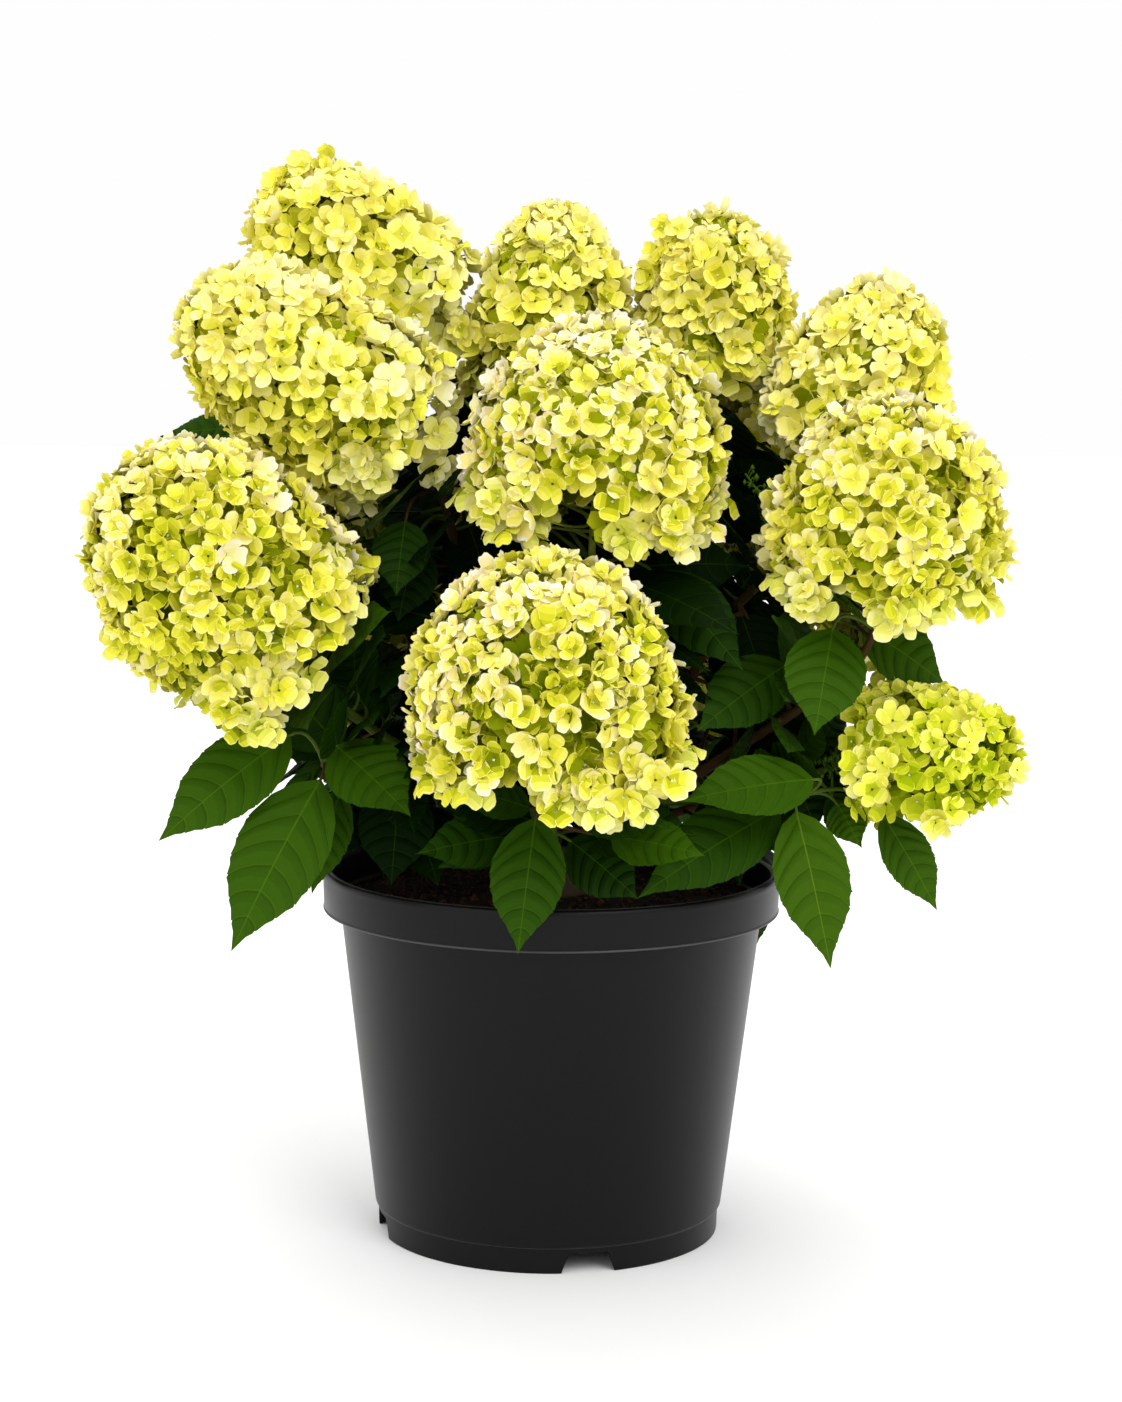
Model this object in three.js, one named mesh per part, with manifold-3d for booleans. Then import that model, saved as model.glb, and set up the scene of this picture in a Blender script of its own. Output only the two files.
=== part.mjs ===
// A potted panicle hydrangea: a black nursery container filled with bark mix, a woody crown, canes,
// leafy shoots and large domed flower panicles. Millimetres, +Z up, origin under the pot's centre.
import * as THREE from "three";
import { ConvexHull } from "three/addons/math/ConvexHull.js";
import { mergeVertices } from "three/addons/utils/BufferGeometryUtils.js";
import Module from "manifold-3d";

const wasm = await Module();
wasm.setup();

// Driving dimensions of the container.
const POT = {
  height: 225,
  rimRadius: 140,
  rimDepth: 25,
  bodyTopRadius: 129,
  bodyFootRadius: 107,
  skirtRadius: 104.7,
  skirtHeight: 16,
  wall: 2.4,
  floor: 4,
  lip: 4, // width of the rolled top edge
  sides: 40,
};
const NOTCH = {
  count: 4,
  firstTurn: 13.6, // degrees from the front
  footWidth: 34,
  topWidth: 25,
  corner: 3,
  height: 12,
  depth: 34,
  below: 5, // how far the cutter starts under the ground
};
const SOIL = { edgeHeight: 205, topHeight: 211, flatRadius: 46, ledge: 3 };
const GAP = 0.35; // clearance that touching pieces keep

// The woody crown on the mix, and the canes that rise from it.
const CROWN = {
  footRadius: 34,
  height: 26,
  sides: 12,
  caneRing: 21,
  caneStart: 8,
  profile: [
    [0.92, 0.3],
    [0.7, 0.68],
    [0.36, 0.94],
  ], // shares of the radius and the height, from its foot up
};
const CANE = { footRadius: 6.2, tipRadius: 4.2, sides: 7, steps: 5, rise: 0.45, spread: 0.2 };
const SHOOT = {
  footRadius: 3.4,
  tipRadius: 2.4,
  sides: 4,
  steps: 5,
  follow: 0.25,
  footBend: 0.34,
  tipBend: 0.22,
  nodeBack: 0.16,
};

const SPRIG_RISE = 40; // how steeply a sprig's end climbs, against its distance from the axis

// Leaves: opposite pairs, each pair a quarter turn from the last.
const LEAF = {
  length: 98,
  widthShare: 0.54,
  petiole: 15,
  fold: 3, // depth of the blade's section, from its edges to the midrib
  foldUnder: 0.4, // the share of that depth that lies under the blade's middle plane
  stalk: 1.7,
  arch: 0.1,
  droop: 0.42,
  rise: 0.5,
  firstNode: 0.3, // where on the shoot the lowest pair stands, and how far the pairs reach
  nodeSpan: 0.6,
  shortest: 0.78, // the least length of a leaf, and how much more it may be
  lengthRange: 0.34,
  stations: [
    [0.34, 1],
    [0.72, 0.74],
  ],
  tries: [
    [0, 1],
    [0.5, 0.86],
    [-0.5, 0.74],
    [0.25, 0.6],
  ],
};
const SHOWN_FACE = [0, -0.85, 0.55]; // the way the upper faces of the shown leaves look
const QUARTER_TURN = Math.PI / 2;
const GOLDEN_TURN = Math.PI * (3 - Math.sqrt(5));
const CLOSE_PACKING = Math.sqrt(3) / 2; // area that a round place takes, per square of its spacing
const SEEDS = { shoots: 100, panicles: 200, sprigs: 300 };

// A panicle's outline along its axis, from its foot at 0 to its tip at 1.
const BLOOM = {
  spacing: 48,
  centreShare: 0.45,
  widest: 0.3,
  footPinch: 0.52,
  pinchPower: 2.2,
  hollow: 0.1, // how far the underside rises to the stalk, as a share of the length
  outlineSteps: 60,
  underSteps: 12,
  stalk: 9,
  stalkRadius: 2.6,
  stalkRoot: 0.24,
  stalkSides: 5,
  upturn: 0.8,
  petals: 4,
  petal: 0.47,
  petalRange: 0.2,
  curl: 0.12,
  dish: -3,
  lift: 4,
  valley: 7,
  ragged: 4,
};

// Each cane: where it forks and its compass turn on the crown; the one with none stands in the middle.
const CANES = {
  front: { fork: [2, -75, 246], turn: -90 },
  left_front: { fork: [-64, -40, 286], turn: -135 },
  right_front: { fork: [84, -34, 286], turn: -45 },
  middle: { fork: [4, -14, 330] },
  upper_left: { fork: [-48, 10, 352], turn: 180 },
  upper_right: { fork: [66, 22, 352], turn: 0 },
  rear_left: { fork: [-62, 62, 286], turn: 135 },
  rear_right: { fork: [60, 66, 288], turn: 45 },
  rear: { fork: [-4, 78, 276], turn: 90 },
};

// Each bloom: its middle, the way it leans, its length, its greatest radius, how blunt its tip is,
// the cane that carries it and how many leaf pairs its shoot has. One has its stem come in from
// behind, and the young one has smaller florets.
const flower = (at, lean, long, radius, blunt, cane, pairs, more = {}) => {
  return { at, lean, long, radius, blunt, cane, pairs, ...more };
};
const FROM_BEHIND = { enter: [-0.3, -0.6, 0.75] };
const BLOOMS = {
  front: flower([-4, -152, 357], [-0.05, -0.3, 1], 144, 81, 2.1, "front", 0),
  centre: flower([23, -72, 489], [0.02, -0.25, 1], 138, 79, 2.2, "middle", 3),
  right: flower([192, -88, 449], [0.08, -0.25, 1], 130, 70, 2.2, "right_front", 2),
  left: flower([-192, -98, 412], [-0.6, -0.38, 0.7], 158, 71, 2.6, "left_front", 2),
  upper_left: flower([-142, -22, 520], [-0.78, -0.15, 0.54], 168, 58, 2.9, "upper_left", 3),
  back_left: flower([-122, 68, 588], [-0.76, 0.05, 0.62], 138, 52, 2.8, "upper_left", 3, FROM_BEHIND),
  back_mid: flower([-4, 62, 560], [-0.02, 0.1, 1], 136, 55, 1.7, "middle", 3),
  back_right: flower([96, 72, 560], [0.1, 0.12, 1], 126, 53, 2.5, "upper_right", 3),
  upper_right: flower([186, 14, 522], [0.26, 0.06, 0.9], 122, 57, 1.8, "upper_right", 3),
  small: flower([218, -60, 306], [0.95, -0.25, 0.06], 104, 45, 2, "right_front", 2, { spacing: 33 }),
  rear_left: flower([-150, 124, 456], [-0.55, 0.55, 0.6], 146, 64, 2.4, "rear_left", 3),
  rear_mid: flower([-20, 148, 476], [-0.08, 0.5, 0.85], 142, 66, 2.3, "rear", 3),
  rear_right: flower([128, 138, 462], [0.38, 0.55, 0.7], 144, 64, 2.3, "rear_right", 3),
  low_rear_left: flower([-90, 157, 332], [-0.35, 0.75, 0.6], 134, 62, 2.3, "rear_left", 2),
  low_rear_right: flower([62, 160, 336], [0.3, 0.75, 0.6], 138, 64, 2.3, "rear", 2),
  side_right: flower([202, 78, 404], [0.75, 0.4, 0.55], 122, 54, 2.2, "rear_right", 2),
  side_left: flower([-204, 60, 370], [-0.8, 0.25, 0.55], 122, 52, 2.2, "rear_left", 2),
};

// Leafy shoots with no flower: the cane that carries each, where it ends and its leaf pairs.
const SPRIGS = {
  under_left: { end: [-134, -86, 300], cane: "left_front", pairs: 0 },
  under_right: { end: [150, -78, 284], cane: "right_front", pairs: 0 },
  inner_left: { end: [-70, -58, 384], cane: "left_front", pairs: 3 },
  inner_right: { end: [114, -18, 384], cane: "right_front", pairs: 3 },
  under_rear: { end: [-16, 158, 258], cane: "rear", pairs: 3 },
  under_rear_left: { end: [-146, 96, 262], cane: "rear_left", pairs: 3 },
  under_rear_right: { end: [128, 120, 266], cane: "rear_right", pairs: 3 },
  under_side_left: { end: [-112, 24, 252], cane: "left_front", pairs: 2 },
  under_side_right: { end: [122, 26, 270], cane: "right_front", pairs: 2 },
};

// Leaves that show from the front: the shoot, the blade's base and its tip, and its width.
const SHOWN_LEAVES = {
  upper_left: [
    [[-88, -52, 440], [-92, -78, 398], 36],
    [[-78, -40, 417], [-93, -50, 364], 40],
  ],
  front: [
    [[-16, -112, 264], [-77, -146, 258], 36],
    [[-8, -140, 262], [-19, -168, 206], 44],
    [[10, -116, 262], [50, -127, 230], 42],
    [[34, -128, 266], [86, -160, 262], 34],
  ],
  right: [
    [[162, -92, 362], [151, -128, 314], 46],
    [[198, -44, 374], [240, -36, 354], 30],
    [[138, -56, 358], [84, -88, 322], 46],
  ],
  centre: [
    [[50, -52, 392], [104, -86, 350], 42],
    [[-8, -58, 398], [-66, -78, 394], 42],
  ],
  under_left: [
    [[-148, -92, 306], [-222, -128, 262], 46],
    [[-136, -98, 290], [-180, -146, 203], 56],
    [[-124, -78, 284], [-139, -100, 226], 30],
    [[-126, -92, 312], [-80, -136, 278], 48],
  ],
  under_right: [
    [[142, -92, 286], [80, -126, 286], 44],
    [[134, -80, 276], [50, -128, 231], 48],
    [[150, -96, 270], [160, -142, 194], 46],
    [[158, -68, 262], [184, -80, 240], 30],
    [[166, -52, 250], [226, -64, 210], 36],
  ],
};

const COLOURS = {
  pot: [0x26272a, 0.45],
  soil: [0x2e2019, 0.95],
  wood: [0x6b4a33, 0.8],
  leaf: [0x2c5a1b, 0.6],
  bloom: [0xd9de7a, 0.7],
  greenBloom: [0xb9cf4a, 0.7],
};

const vec = (p) => new THREE.Vector3(...p);
const cosDeg = (turn) => Math.cos(THREE.MathUtils.degToRad(turn));
const sinDeg = (turn) => Math.sin(THREE.MathUtils.degToRad(turn));
const UP = new THREE.Vector3(0, 0, 1);

// Returns a seeded generator of numbers from 0 to 1.
function seeded(seed) {
  let state = seed >>> 0;
  return () => {
    state = (state + 0x6d2b79f5) | 0;
    let t = Math.imul(state ^ (state >>> 15), 1 | state);
    t = (t + Math.imul(t ^ (t >>> 7), 61 | t)) ^ t;
    return ((t ^ (t >>> 14)) >>> 0) / 4294967296;
  };
}

// Turns a closed geometry into a solid for joining and cutting.
function solidOf(geometry) {
  const bare = geometry.clone();
  bare.deleteAttribute("normal");
  bare.deleteAttribute("uv");
  const merged = mergeVertices(bare, 1e-4);
  return new wasm.Manifold(
    new wasm.Mesh({
      numProp: 3,
      vertProperties: merged.attributes.position.array,
      triVerts: new Uint32Array(merged.index.array),
    }),
  );
}

function largestPiece(solid) {
  return solid.decompose().reduce((a, b) => (b.volume() > a.volume() ? b : a));
}

// A closed skin over rings of equal size; a single-point ring closes an end, and others are capped.
function skin(rings) {
  const positions = [];
  const index = [];
  const starts = rings.map((ring) => {
    const start = positions.length / 3;
    ring.forEach((p) => positions.push(p.x, p.y, p.z));
    return start;
  });
  for (let i = 0; i + 1 < rings.length; i++) {
    const [a, b] = [starts[i], starts[i + 1]];
    const [na, nb] = [rings[i].length, rings[i + 1].length];
    const n = Math.max(na, nb);
    for (let k = 0; k < n; k++) {
      const m = (k + 1) % n;
      if (na > 1) index.push(a + k, a + m, b + (nb > 1 ? m : 0));
      if (nb > 1) index.push(a + (na > 1 ? k : 0), b + m, b + k);
    }
  }
  const [first, last] = [starts[0], starts[rings.length - 1]];
  for (let k = 1; k + 1 < rings[0].length; k++) index.push(first, first + k + 1, first + k);
  for (let k = 1; k + 1 < rings[rings.length - 1].length; k++) index.push(last, last + k, last + k + 1);
  return new THREE.BufferGeometry()
    .setAttribute("position", new THREE.Float32BufferAttribute(positions, 3))
    .setIndex(index);
}

// A tapering limb with a round section along a curve.
function limb(curve, footRadius, tipRadius, sides, steps, swell = 0) {
  const rings = [];
  const across = Math.abs(curve.getTangent(0).z) > 0.9 ? new THREE.Vector3(1, 0, 0) : UP.clone();
  for (let i = 0; i <= steps; i++) {
    const t = i / steps;
    const tangent = curve.getTangent(t);
    const u = across.clone().addScaledVector(tangent, -across.dot(tangent)).normalize();
    const v = tangent.clone().cross(u);
    across.copy(u);
    const radius = THREE.MathUtils.lerp(footRadius, tipRadius, t) + swell;
    const centre = curve.getPoint(t);
    if (i === 0) centre.addScaledVector(tangent, -swell);
    if (i === steps) centre.addScaledVector(tangent, swell);
    rings.push(
      Array.from({ length: sides }, (_, k) => {
        const turn = (2 * Math.PI * k) / sides;
        return centre
          .clone()
          .addScaledVector(u, radius * Math.cos(turn))
          .addScaledVector(v, radius * Math.sin(turn));
      }),
    );
  }
  return solidOf(skin(rings));
}

const shootStem = (curve, swell) =>
  limb(curve, SHOOT.footRadius, SHOOT.tipRadius, SHOOT.sides, SHOOT.steps, swell);

function lathe(profile, sides) {
  const points = profile.map(([r, z]) => new THREE.Vector2(r, z));
  return solidOf(new THREE.LatheGeometry(points, sides).rotateX(Math.PI / 2));
}

// The container: a tapering tub with a rolled rim band, a raised floor and a notched skirt.
function pot() {
  const { height, rimRadius, rimDepth, bodyTopRadius, bodyFootRadius } = POT;
  const { skirtRadius, skirtHeight, wall, floor, lip } = POT;
  const rimFoot = height - rimDepth;
  const tub = lathe(
    [
      [0, skirtHeight - floor],
      [skirtRadius - wall, skirtHeight - floor],
      [skirtRadius - wall, 0],
      [skirtRadius, 0],
      [skirtRadius + 0.6, skirtHeight],
      [bodyFootRadius, skirtHeight + 0.8],
      [bodyTopRadius, rimFoot],
      [rimRadius - 0.8, rimFoot + 0.6],
      [rimRadius, height - 0.7 * lip],
      [rimRadius - 0.3 * lip, height],
      [rimRadius - lip, height - 0.6],
      [rimRadius - 1.4 * lip, rimFoot + lip],
      [bodyTopRadius - wall, rimFoot - 2],
      [bodyFootRadius - wall, skirtHeight],
      [0, skirtHeight],
    ],
    POT.sides,
  );
  return notches().reduce((solid, notch) => solid.subtract(notch), tub);
}

// Drainage notches in the skirt, wider at the foot, that run in under the floor's edge.
function notches() {
  const { count, firstTurn, footWidth, topWidth, corner, height, depth, below } = NOTCH;
  const half = [
    [footWidth / 2, -below],
    [footWidth / 2, 0],
    [topWidth / 2 + corner / 3, height - corner * 0.7],
    [topWidth / 2 - corner * 0.7, height],
  ];
  const mirrored = half.map(([x, z]) => [-x, z]).reverse();
  const outline = new THREE.Shape([...half, ...mirrored].map(([x, z]) => new THREE.Vector2(x, z)));
  return Array.from({ length: count }, (_, k) => {
    const turn = THREE.MathUtils.degToRad(firstTurn + (360 * k) / count);
    const geometry = new THREE.ExtrudeGeometry(outline, { depth, bevelEnabled: false })
      .rotateX(QUARTER_TURN)
      .translate(0, depth / 2 + POT.wall - POT.skirtRadius, 0)
      .rotateZ(turn);
    return solidOf(geometry);
  });
}

// The bark and peat mix that fills the container, a little clear of its wall.
function soil() {
  const wallAt = (z) => {
    const t = (z - POT.skirtHeight) / (POT.height - POT.rimDepth - 2 - POT.skirtHeight);
    return THREE.MathUtils.lerp(POT.bodyFootRadius, POT.bodyTopRadius, t) - POT.wall - GAP;
  };
  const shoulder = POT.height - POT.rimDepth - 3;
  return lathe(
    [
      [0, POT.skirtHeight + GAP],
      [wallAt(POT.skirtHeight), POT.skirtHeight + GAP],
      [wallAt(shoulder), shoulder],
      [wallAt(shoulder) + SOIL.ledge, SOIL.edgeHeight - 1],
      [wallAt(shoulder) - SOIL.ledge, SOIL.edgeHeight + 1],
      [SOIL.flatRadius, SOIL.topHeight],
      [0, SOIL.topHeight],
    ],
    POT.sides,
  );
}

// The knuckle of old wood that stands on the mix; swell gives the larger copy that cuts the canes.
function crown(swell = 0) {
  const { footRadius, height, sides, profile } = CROWN;
  const foot = SOIL.topHeight + GAP - swell;
  const side = profile.map(([r, z]) => [footRadius * r + swell, foot + height * z + swell]);
  const top = foot + height + 2 * swell;
  return lathe([[0, foot], [footRadius + swell, foot], ...side, [0, top]], sides);
}

// A cane's curve: up and out from its place on the crown, and over to its fork.
function caneCurve({ fork: tip, turn }) {
  const fork = vec(tip);
  const out = new THREE.Vector3();
  if (turn !== undefined) out.set(cosDeg(turn), sinDeg(turn), 0);
  const start = out.clone().multiplyScalar(CROWN.caneRing).setZ(SOIL.topHeight + CROWN.caneStart);
  const reach = start.distanceTo(fork);
  const rising = start.clone().addScaledVector(UP, reach * CANE.rise);
  rising.addScaledVector(out, reach * CANE.spread);
  return new THREE.QuadraticBezierCurve3(start, rising, fork);
}

// A shoot's curve: it leaves its cane near the tip, and arrives along the way its end points.
function shootCurve(cane, rank, end, lean) {
  const start = cane.getPoint(1 - SHOOT.nodeBack * rank);
  const apart = start.distanceTo(end);
  const away = end.clone().sub(start).normalize();
  away.addScaledVector(cane.getTangent(1), SHOOT.follow).normalize();
  return new THREE.CubicBezierCurve3(
    start,
    start.clone().addScaledVector(away, apart * SHOOT.footBend),
    end.clone().addScaledVector(lean, -apart * SHOOT.tipBend),
    end,
  );
}

// The way a shoot runs as it enters its bloom, more upright than the bloom itself.
function stalkWay(bloom) {
  if (bloom.enter) return vec(bloom.enter).normalize();
  return vec(bloom.lean).normalize().addScaledVector(UP, BLOOM.upturn).normalize();
}

// The bloom's own frame: its foot, its axis and two directions across it.
function bloomFrame(bloom) {
  const axis = vec(bloom.lean).normalize();
  const foot = vec(bloom.at).addScaledVector(axis, -bloom.long * BLOOM.centreShare);
  const u = UP.clone().cross(axis);
  if (u.length() < 0.05) u.set(1, 0, 0);
  u.normalize();
  return { axis, foot, u, v: axis.clone().cross(u) };
}

// Radius of a bloom, as a share of its greatest, at a share of the way from its foot to its tip.
function bloomProfile(share, blunt) {
  if (share < BLOOM.widest) {
    const t = (BLOOM.widest - share) / BLOOM.widest;
    return Math.sqrt(1 - BLOOM.footPinch * t ** BLOOM.pinchPower);
  }
  const t = (share - BLOOM.widest) / (1 - BLOOM.widest);
  return Math.sqrt(Math.max(0, 1 - t ** blunt));
}

// Points down the bloom's outline from its tip, over its rim and in along its underside.
function bloomOutline(bloom) {
  const { outlineSteps: steps, underSteps, hollow } = BLOOM;
  const points = Array.from({ length: steps + 1 }, (_, i) => {
    const share = 1 - i / steps;
    return [bloom.radius * bloomProfile(share, bloom.blunt), bloom.long * share];
  });
  const rim = points[steps][0];
  for (let i = 1; i <= underSteps; i++) {
    const inward = i / (underSteps + 1);
    points.push([rim * (1 - inward), bloom.long * hollow * inward]);
  }
  return points;
}

// Where each floret sits: equal areas down the outline, each turned on by the golden angle.
function floretSites(bloom) {
  const outline = bloomOutline(bloom);
  const areas = [0];
  for (let i = 1; i < outline.length; i++) {
    const [[r0, z0], [r1, z1]] = [outline[i - 1], outline[i]];
    areas.push(areas[i - 1] + Math.PI * (r0 + r1) * Math.hypot(r1 - r0, z1 - z0));
  }
  const total = areas[areas.length - 1];
  const spacing = bloom.spacing ?? BLOOM.spacing;
  const count = Math.round(total / (CLOSE_PACKING * spacing ** 2));
  const { axis, foot, u, v } = bloomFrame(bloom);
  return Array.from({ length: count }, (_, k) => {
    const area = (total * (k + 0.5)) / count;
    const i = Math.max(1, areas.findIndex((a) => a >= area));
    const t = (area - areas[i - 1]) / (areas[i] - areas[i - 1]);
    const [[r0, z0], [r1, z1]] = [outline[i - 1], outline[i]];
    const [r, z] = [THREE.MathUtils.lerp(r0, r1, t), THREE.MathUtils.lerp(z0, z1, t)];
    const [nr, nz] = [z0 - z1, r1 - r0].map((x) => x / Math.hypot(r1 - r0, z1 - z0));
    const turn = k * GOLDEN_TURN;
    const out = u.clone().multiplyScalar(Math.cos(turn)).addScaledVector(v, Math.sin(turn));
    return {
      point: foot.clone().addScaledVector(axis, z).addScaledVector(out, r),
      normal: out.clone().multiplyScalar(nr).addScaledVector(axis, nz),
      share: z / bloom.long,
      spacing,
    };
  });
}

// Triangles between points that lie all round a middle, as the hull of their directions.
function trianglesRound(middle, points) {
  const directions = points.map((p, i) => {
    const direction = p.clone().sub(middle).normalize();
    direction.number = i;
    return direction;
  });
  return new ConvexHull().setFromPoints(directions).faces.map((face) => {
    const edge = face.edge;
    return [edge, edge.next, edge.next.next].map((e) => e.head().point.number);
  });
}

// One panicle: a core whose whole skin is four-petalled florets in relief, with valleys between
// them and a ragged skirt, fused to the end of its stalk.
function panicle(bloom, seed) {
  const random = seeded(seed);
  const sites = floretSites(bloom);
  const { axis, foot } = bloomFrame(bloom);
  const middle = foot.clone().addScaledVector(axis, bloom.long * BLOOM.centreShare);
  const smooth = [];
  const heights = [];
  for (const { point, normal, share, spacing } of sites) {
    const skirt = share < BLOOM.widest ? BLOOM.ragged * random() : 0;
    const turn = random() * QUARTER_TURN;
    const across = normal.clone().cross(axis);
    if (across.length() < 0.1) across.set(1, 0, 0).cross(normal);
    across.normalize();
    const along = normal.clone().cross(across);
    smooth.push(point.clone());
    heights.push(BLOOM.dish + skirt);
    for (let k = 0; k < BLOOM.petals; k++) {
      const a = turn + (k * 2 * Math.PI) / BLOOM.petals;
      const reach = spacing * BLOOM.petal * (1 + BLOOM.petalRange * (random() - 0.5));
      smooth.push(
        point
          .clone()
          .addScaledVector(across, reach * Math.cos(a))
          .addScaledVector(along, reach * Math.sin(a)),
      );
      heights.push(BLOOM.lift * (0.2 + random()) + skirt - spacing * BLOOM.curl);
    }
  }
  const centres = sites.map((site) => site.point);
  for (const corners of trianglesRound(middle, centres)) {
    const valley = new THREE.Vector3();
    corners.forEach((i) => valley.addScaledVector(centres[i], 1 / 3));
    smooth.push(valley);
    heights.push(-BLOOM.valley);
  }
  const positions = smooth.flatMap((p, i) => {
    const out = p.clone().sub(middle).normalize();
    return p.clone().addScaledVector(out, heights[i]).toArray();
  });
  const head = new THREE.BufferGeometry()
    .setAttribute("position", new THREE.Float32BufferAttribute(positions, 3))
    .setIndex(trianglesRound(middle, smooth).flat());
  const way = stalkWay(bloom);
  const end = foot.clone().addScaledVector(way, -BLOOM.stalk);
  const root = foot.clone().addScaledVector(way, bloom.long * BLOOM.stalkRoot);
  const { stalkRadius, stalkSides } = BLOOM;
  const stalk = limb(new THREE.LineCurve3(end, root), stalkRadius, stalkRadius, stalkSides, 1);
  return solidOf(head).add(stalk);
}

// A leaf blade on its petiole: three-sided sections from the stem to a pointed tip, with the
// midrib as a ridge along its upper face.
function leaf(root, base, tip, width, face) {
  const along = tip.clone().sub(base);
  const side = along.clone().cross(face).normalize();
  const normal = side.clone().cross(along).normalize();
  const bow = base.clone().lerp(tip, 0.5).addScaledVector(normal, along.length() * LEAF.arch);
  const midrib = new THREE.QuadraticBezierCurve3(base, bow, tip);
  const section = (centre, half, depth) => [
    centre.clone().addScaledVector(side, half).addScaledVector(normal, -depth * LEAF.foldUnder),
    centre.clone().addScaledVector(side, -half).addScaledVector(normal, -depth * LEAF.foldUnder),
    centre.clone().addScaledVector(normal, depth * (1 - LEAF.foldUnder)),
  ];
  const blade = LEAF.stations.map(([t, share]) => {
    return section(midrib.getPoint(t), (width / 2) * share, LEAF.fold);
  });
  const petiole = [root, base].map((p) => section(p, LEAF.stalk, LEAF.stalk * 2));
  return solidOf(skin([...petiole, ...blade, [tip.clone()]]));
}

// The way a leaf faces: out from the plant's middle and up.
const outward = (p) => new THREE.Vector3(p.x, p.y, 0).setLength(0.8).addScaledVector(UP, 0.7);

// The leaves that a shoot bears by rule: opposite pairs, a quarter turn on at each node, that rise
// from the stem and then droop at their tips. Each comes with smaller, swung copies to try if the
// full one has no room.
function pairedLeaves(curve, pairs, seed) {
  const random = seeded(seed);
  const firstTurn = random() * Math.PI;
  const leaves = [];
  for (let node = 0; node < pairs; node++) {
    const t = LEAF.firstNode + (LEAF.nodeSpan * (node + 0.5)) / pairs;
    const stem = curve.getPoint(t);
    const tangent = curve.getTangent(t);
    const u = new THREE.Vector3(1, 0, 0).addScaledVector(tangent, -tangent.x).normalize();
    const v = tangent.clone().cross(u);
    for (const half of [0, Math.PI]) {
      const fullLength = LEAF.length * (LEAF.shortest + LEAF.lengthRange * random());
      leaves.push(
        LEAF.tries.map(([swing, share]) => {
          const turn = firstTurn + node * QUARTER_TURN + half + swing;
          const out = u.clone().multiplyScalar(Math.cos(turn)).addScaledVector(v, Math.sin(turn));
          const way = out.addScaledVector(tangent, LEAF.rise).normalize();
          const length = fullLength * share;
          const base = stem.clone().addScaledVector(way, LEAF.petiole);
          const tip = base.clone().addScaledVector(way, length).addScaledVector(UP, -length * LEAF.droop);
          return [base, tip, length * LEAF.widthShare, outward(base)];
        }),
      );
    }
  }
  return leaves;
}

// The nearest point of a shoot from which a leaf may grow, clear of the shoot's foot.
function nearestOn(curve, point) {
  const steps = 40;
  const [lowest, highest] = [0.15, 0.98];
  const points = Array.from({ length: steps + 1 }, (_, i) => {
    return curve.getPoint(THREE.MathUtils.lerp(lowest, highest, i / steps));
  });
  return points.reduce((a, b) => (b.distanceTo(point) < a.distanceTo(point) ? b : a));
}

function boxOf(solid) {
  const { min, max } = solid.boundingBox();
  return new THREE.Box3(vec(min), vec(max));
}
const middleOf = (box) => box.getCenter(new THREE.Vector3());

// Whether a solid keeps the clearance from all the others; only near ones are measured.
function clearOf(solid, others) {
  const room = boxOf(solid).expandByScalar(2 * GAP);
  return others.every((other) => !room.intersectsBox(boxOf(other)) || solid.minGap(other, 2 * GAP) > GAP);
}

const built = new Map();
built.set("pot", { solid: pot(), colour: "pot" });
built.set("potting_mix", { solid: soil(), colour: "soil" });
built.set("woody_crown", { solid: crown(), colour: "wood" });

const caneCurves = {};
const caneWood = (name, swell) =>
  limb(caneCurves[name], CANE.footRadius, CANE.tipRadius, CANE.sides, CANE.steps, swell);
for (const [name, cane] of Object.entries(CANES)) {
  caneCurves[name] = caneCurve(cane);
  const wood = caneWood(name, 0).subtract(crown(GAP));
  built.set("cane_" + name, { solid: largestPiece(wood), colour: "wood" });
}

// Every shoot, flowering or not, with its curve and its bare stem cut clear of its cane.
const shoots = [];
const ranks = {};
function addShoot(name, cane, end, lean, pairs, seed) {
  const rank = (ranks[cane] = (ranks[cane] ?? -1) + 1);
  const curve = shootCurve(caneCurves[cane], rank, end, lean);
  const stem = shootStem(curve, 0);
  const sisters = shoots.filter((other) => other.cane === cane);
  const inTheWay = [caneWood(cane, GAP), ...sisters.map((other) => shootStem(other.curve, GAP))];
  const clearStem = largestPiece(stem.subtract(wasm.Manifold.union(inTheWay)));
  shoots.push({ name, cane, curve, pairs, seed, stem: clearStem });
}

Object.entries(BLOOMS).forEach(([name, bloom], i) => {
  const way = stalkWay(bloom);
  const end = bloomFrame(bloom).foot.addScaledVector(way, -BLOOM.stalk - GAP);
  addShoot(name, bloom.cane, end, way, bloom.pairs, SEEDS.shoots + i);
  const colour = name === "small" ? "greenBloom" : "bloom";
  built.set("panicle_" + name, { solid: panicle(bloom, SEEDS.panicles + i), colour });
});
Object.entries(SPRIGS).forEach(([name, sprig], i) => {
  const end = vec(sprig.end);
  const out = new THREE.Vector3(end.x, end.y, SPRIG_RISE).normalize();
  addShoot(name, sprig.cane, end, out, sprig.pairs, SEEDS.sprigs + i);
});

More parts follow.
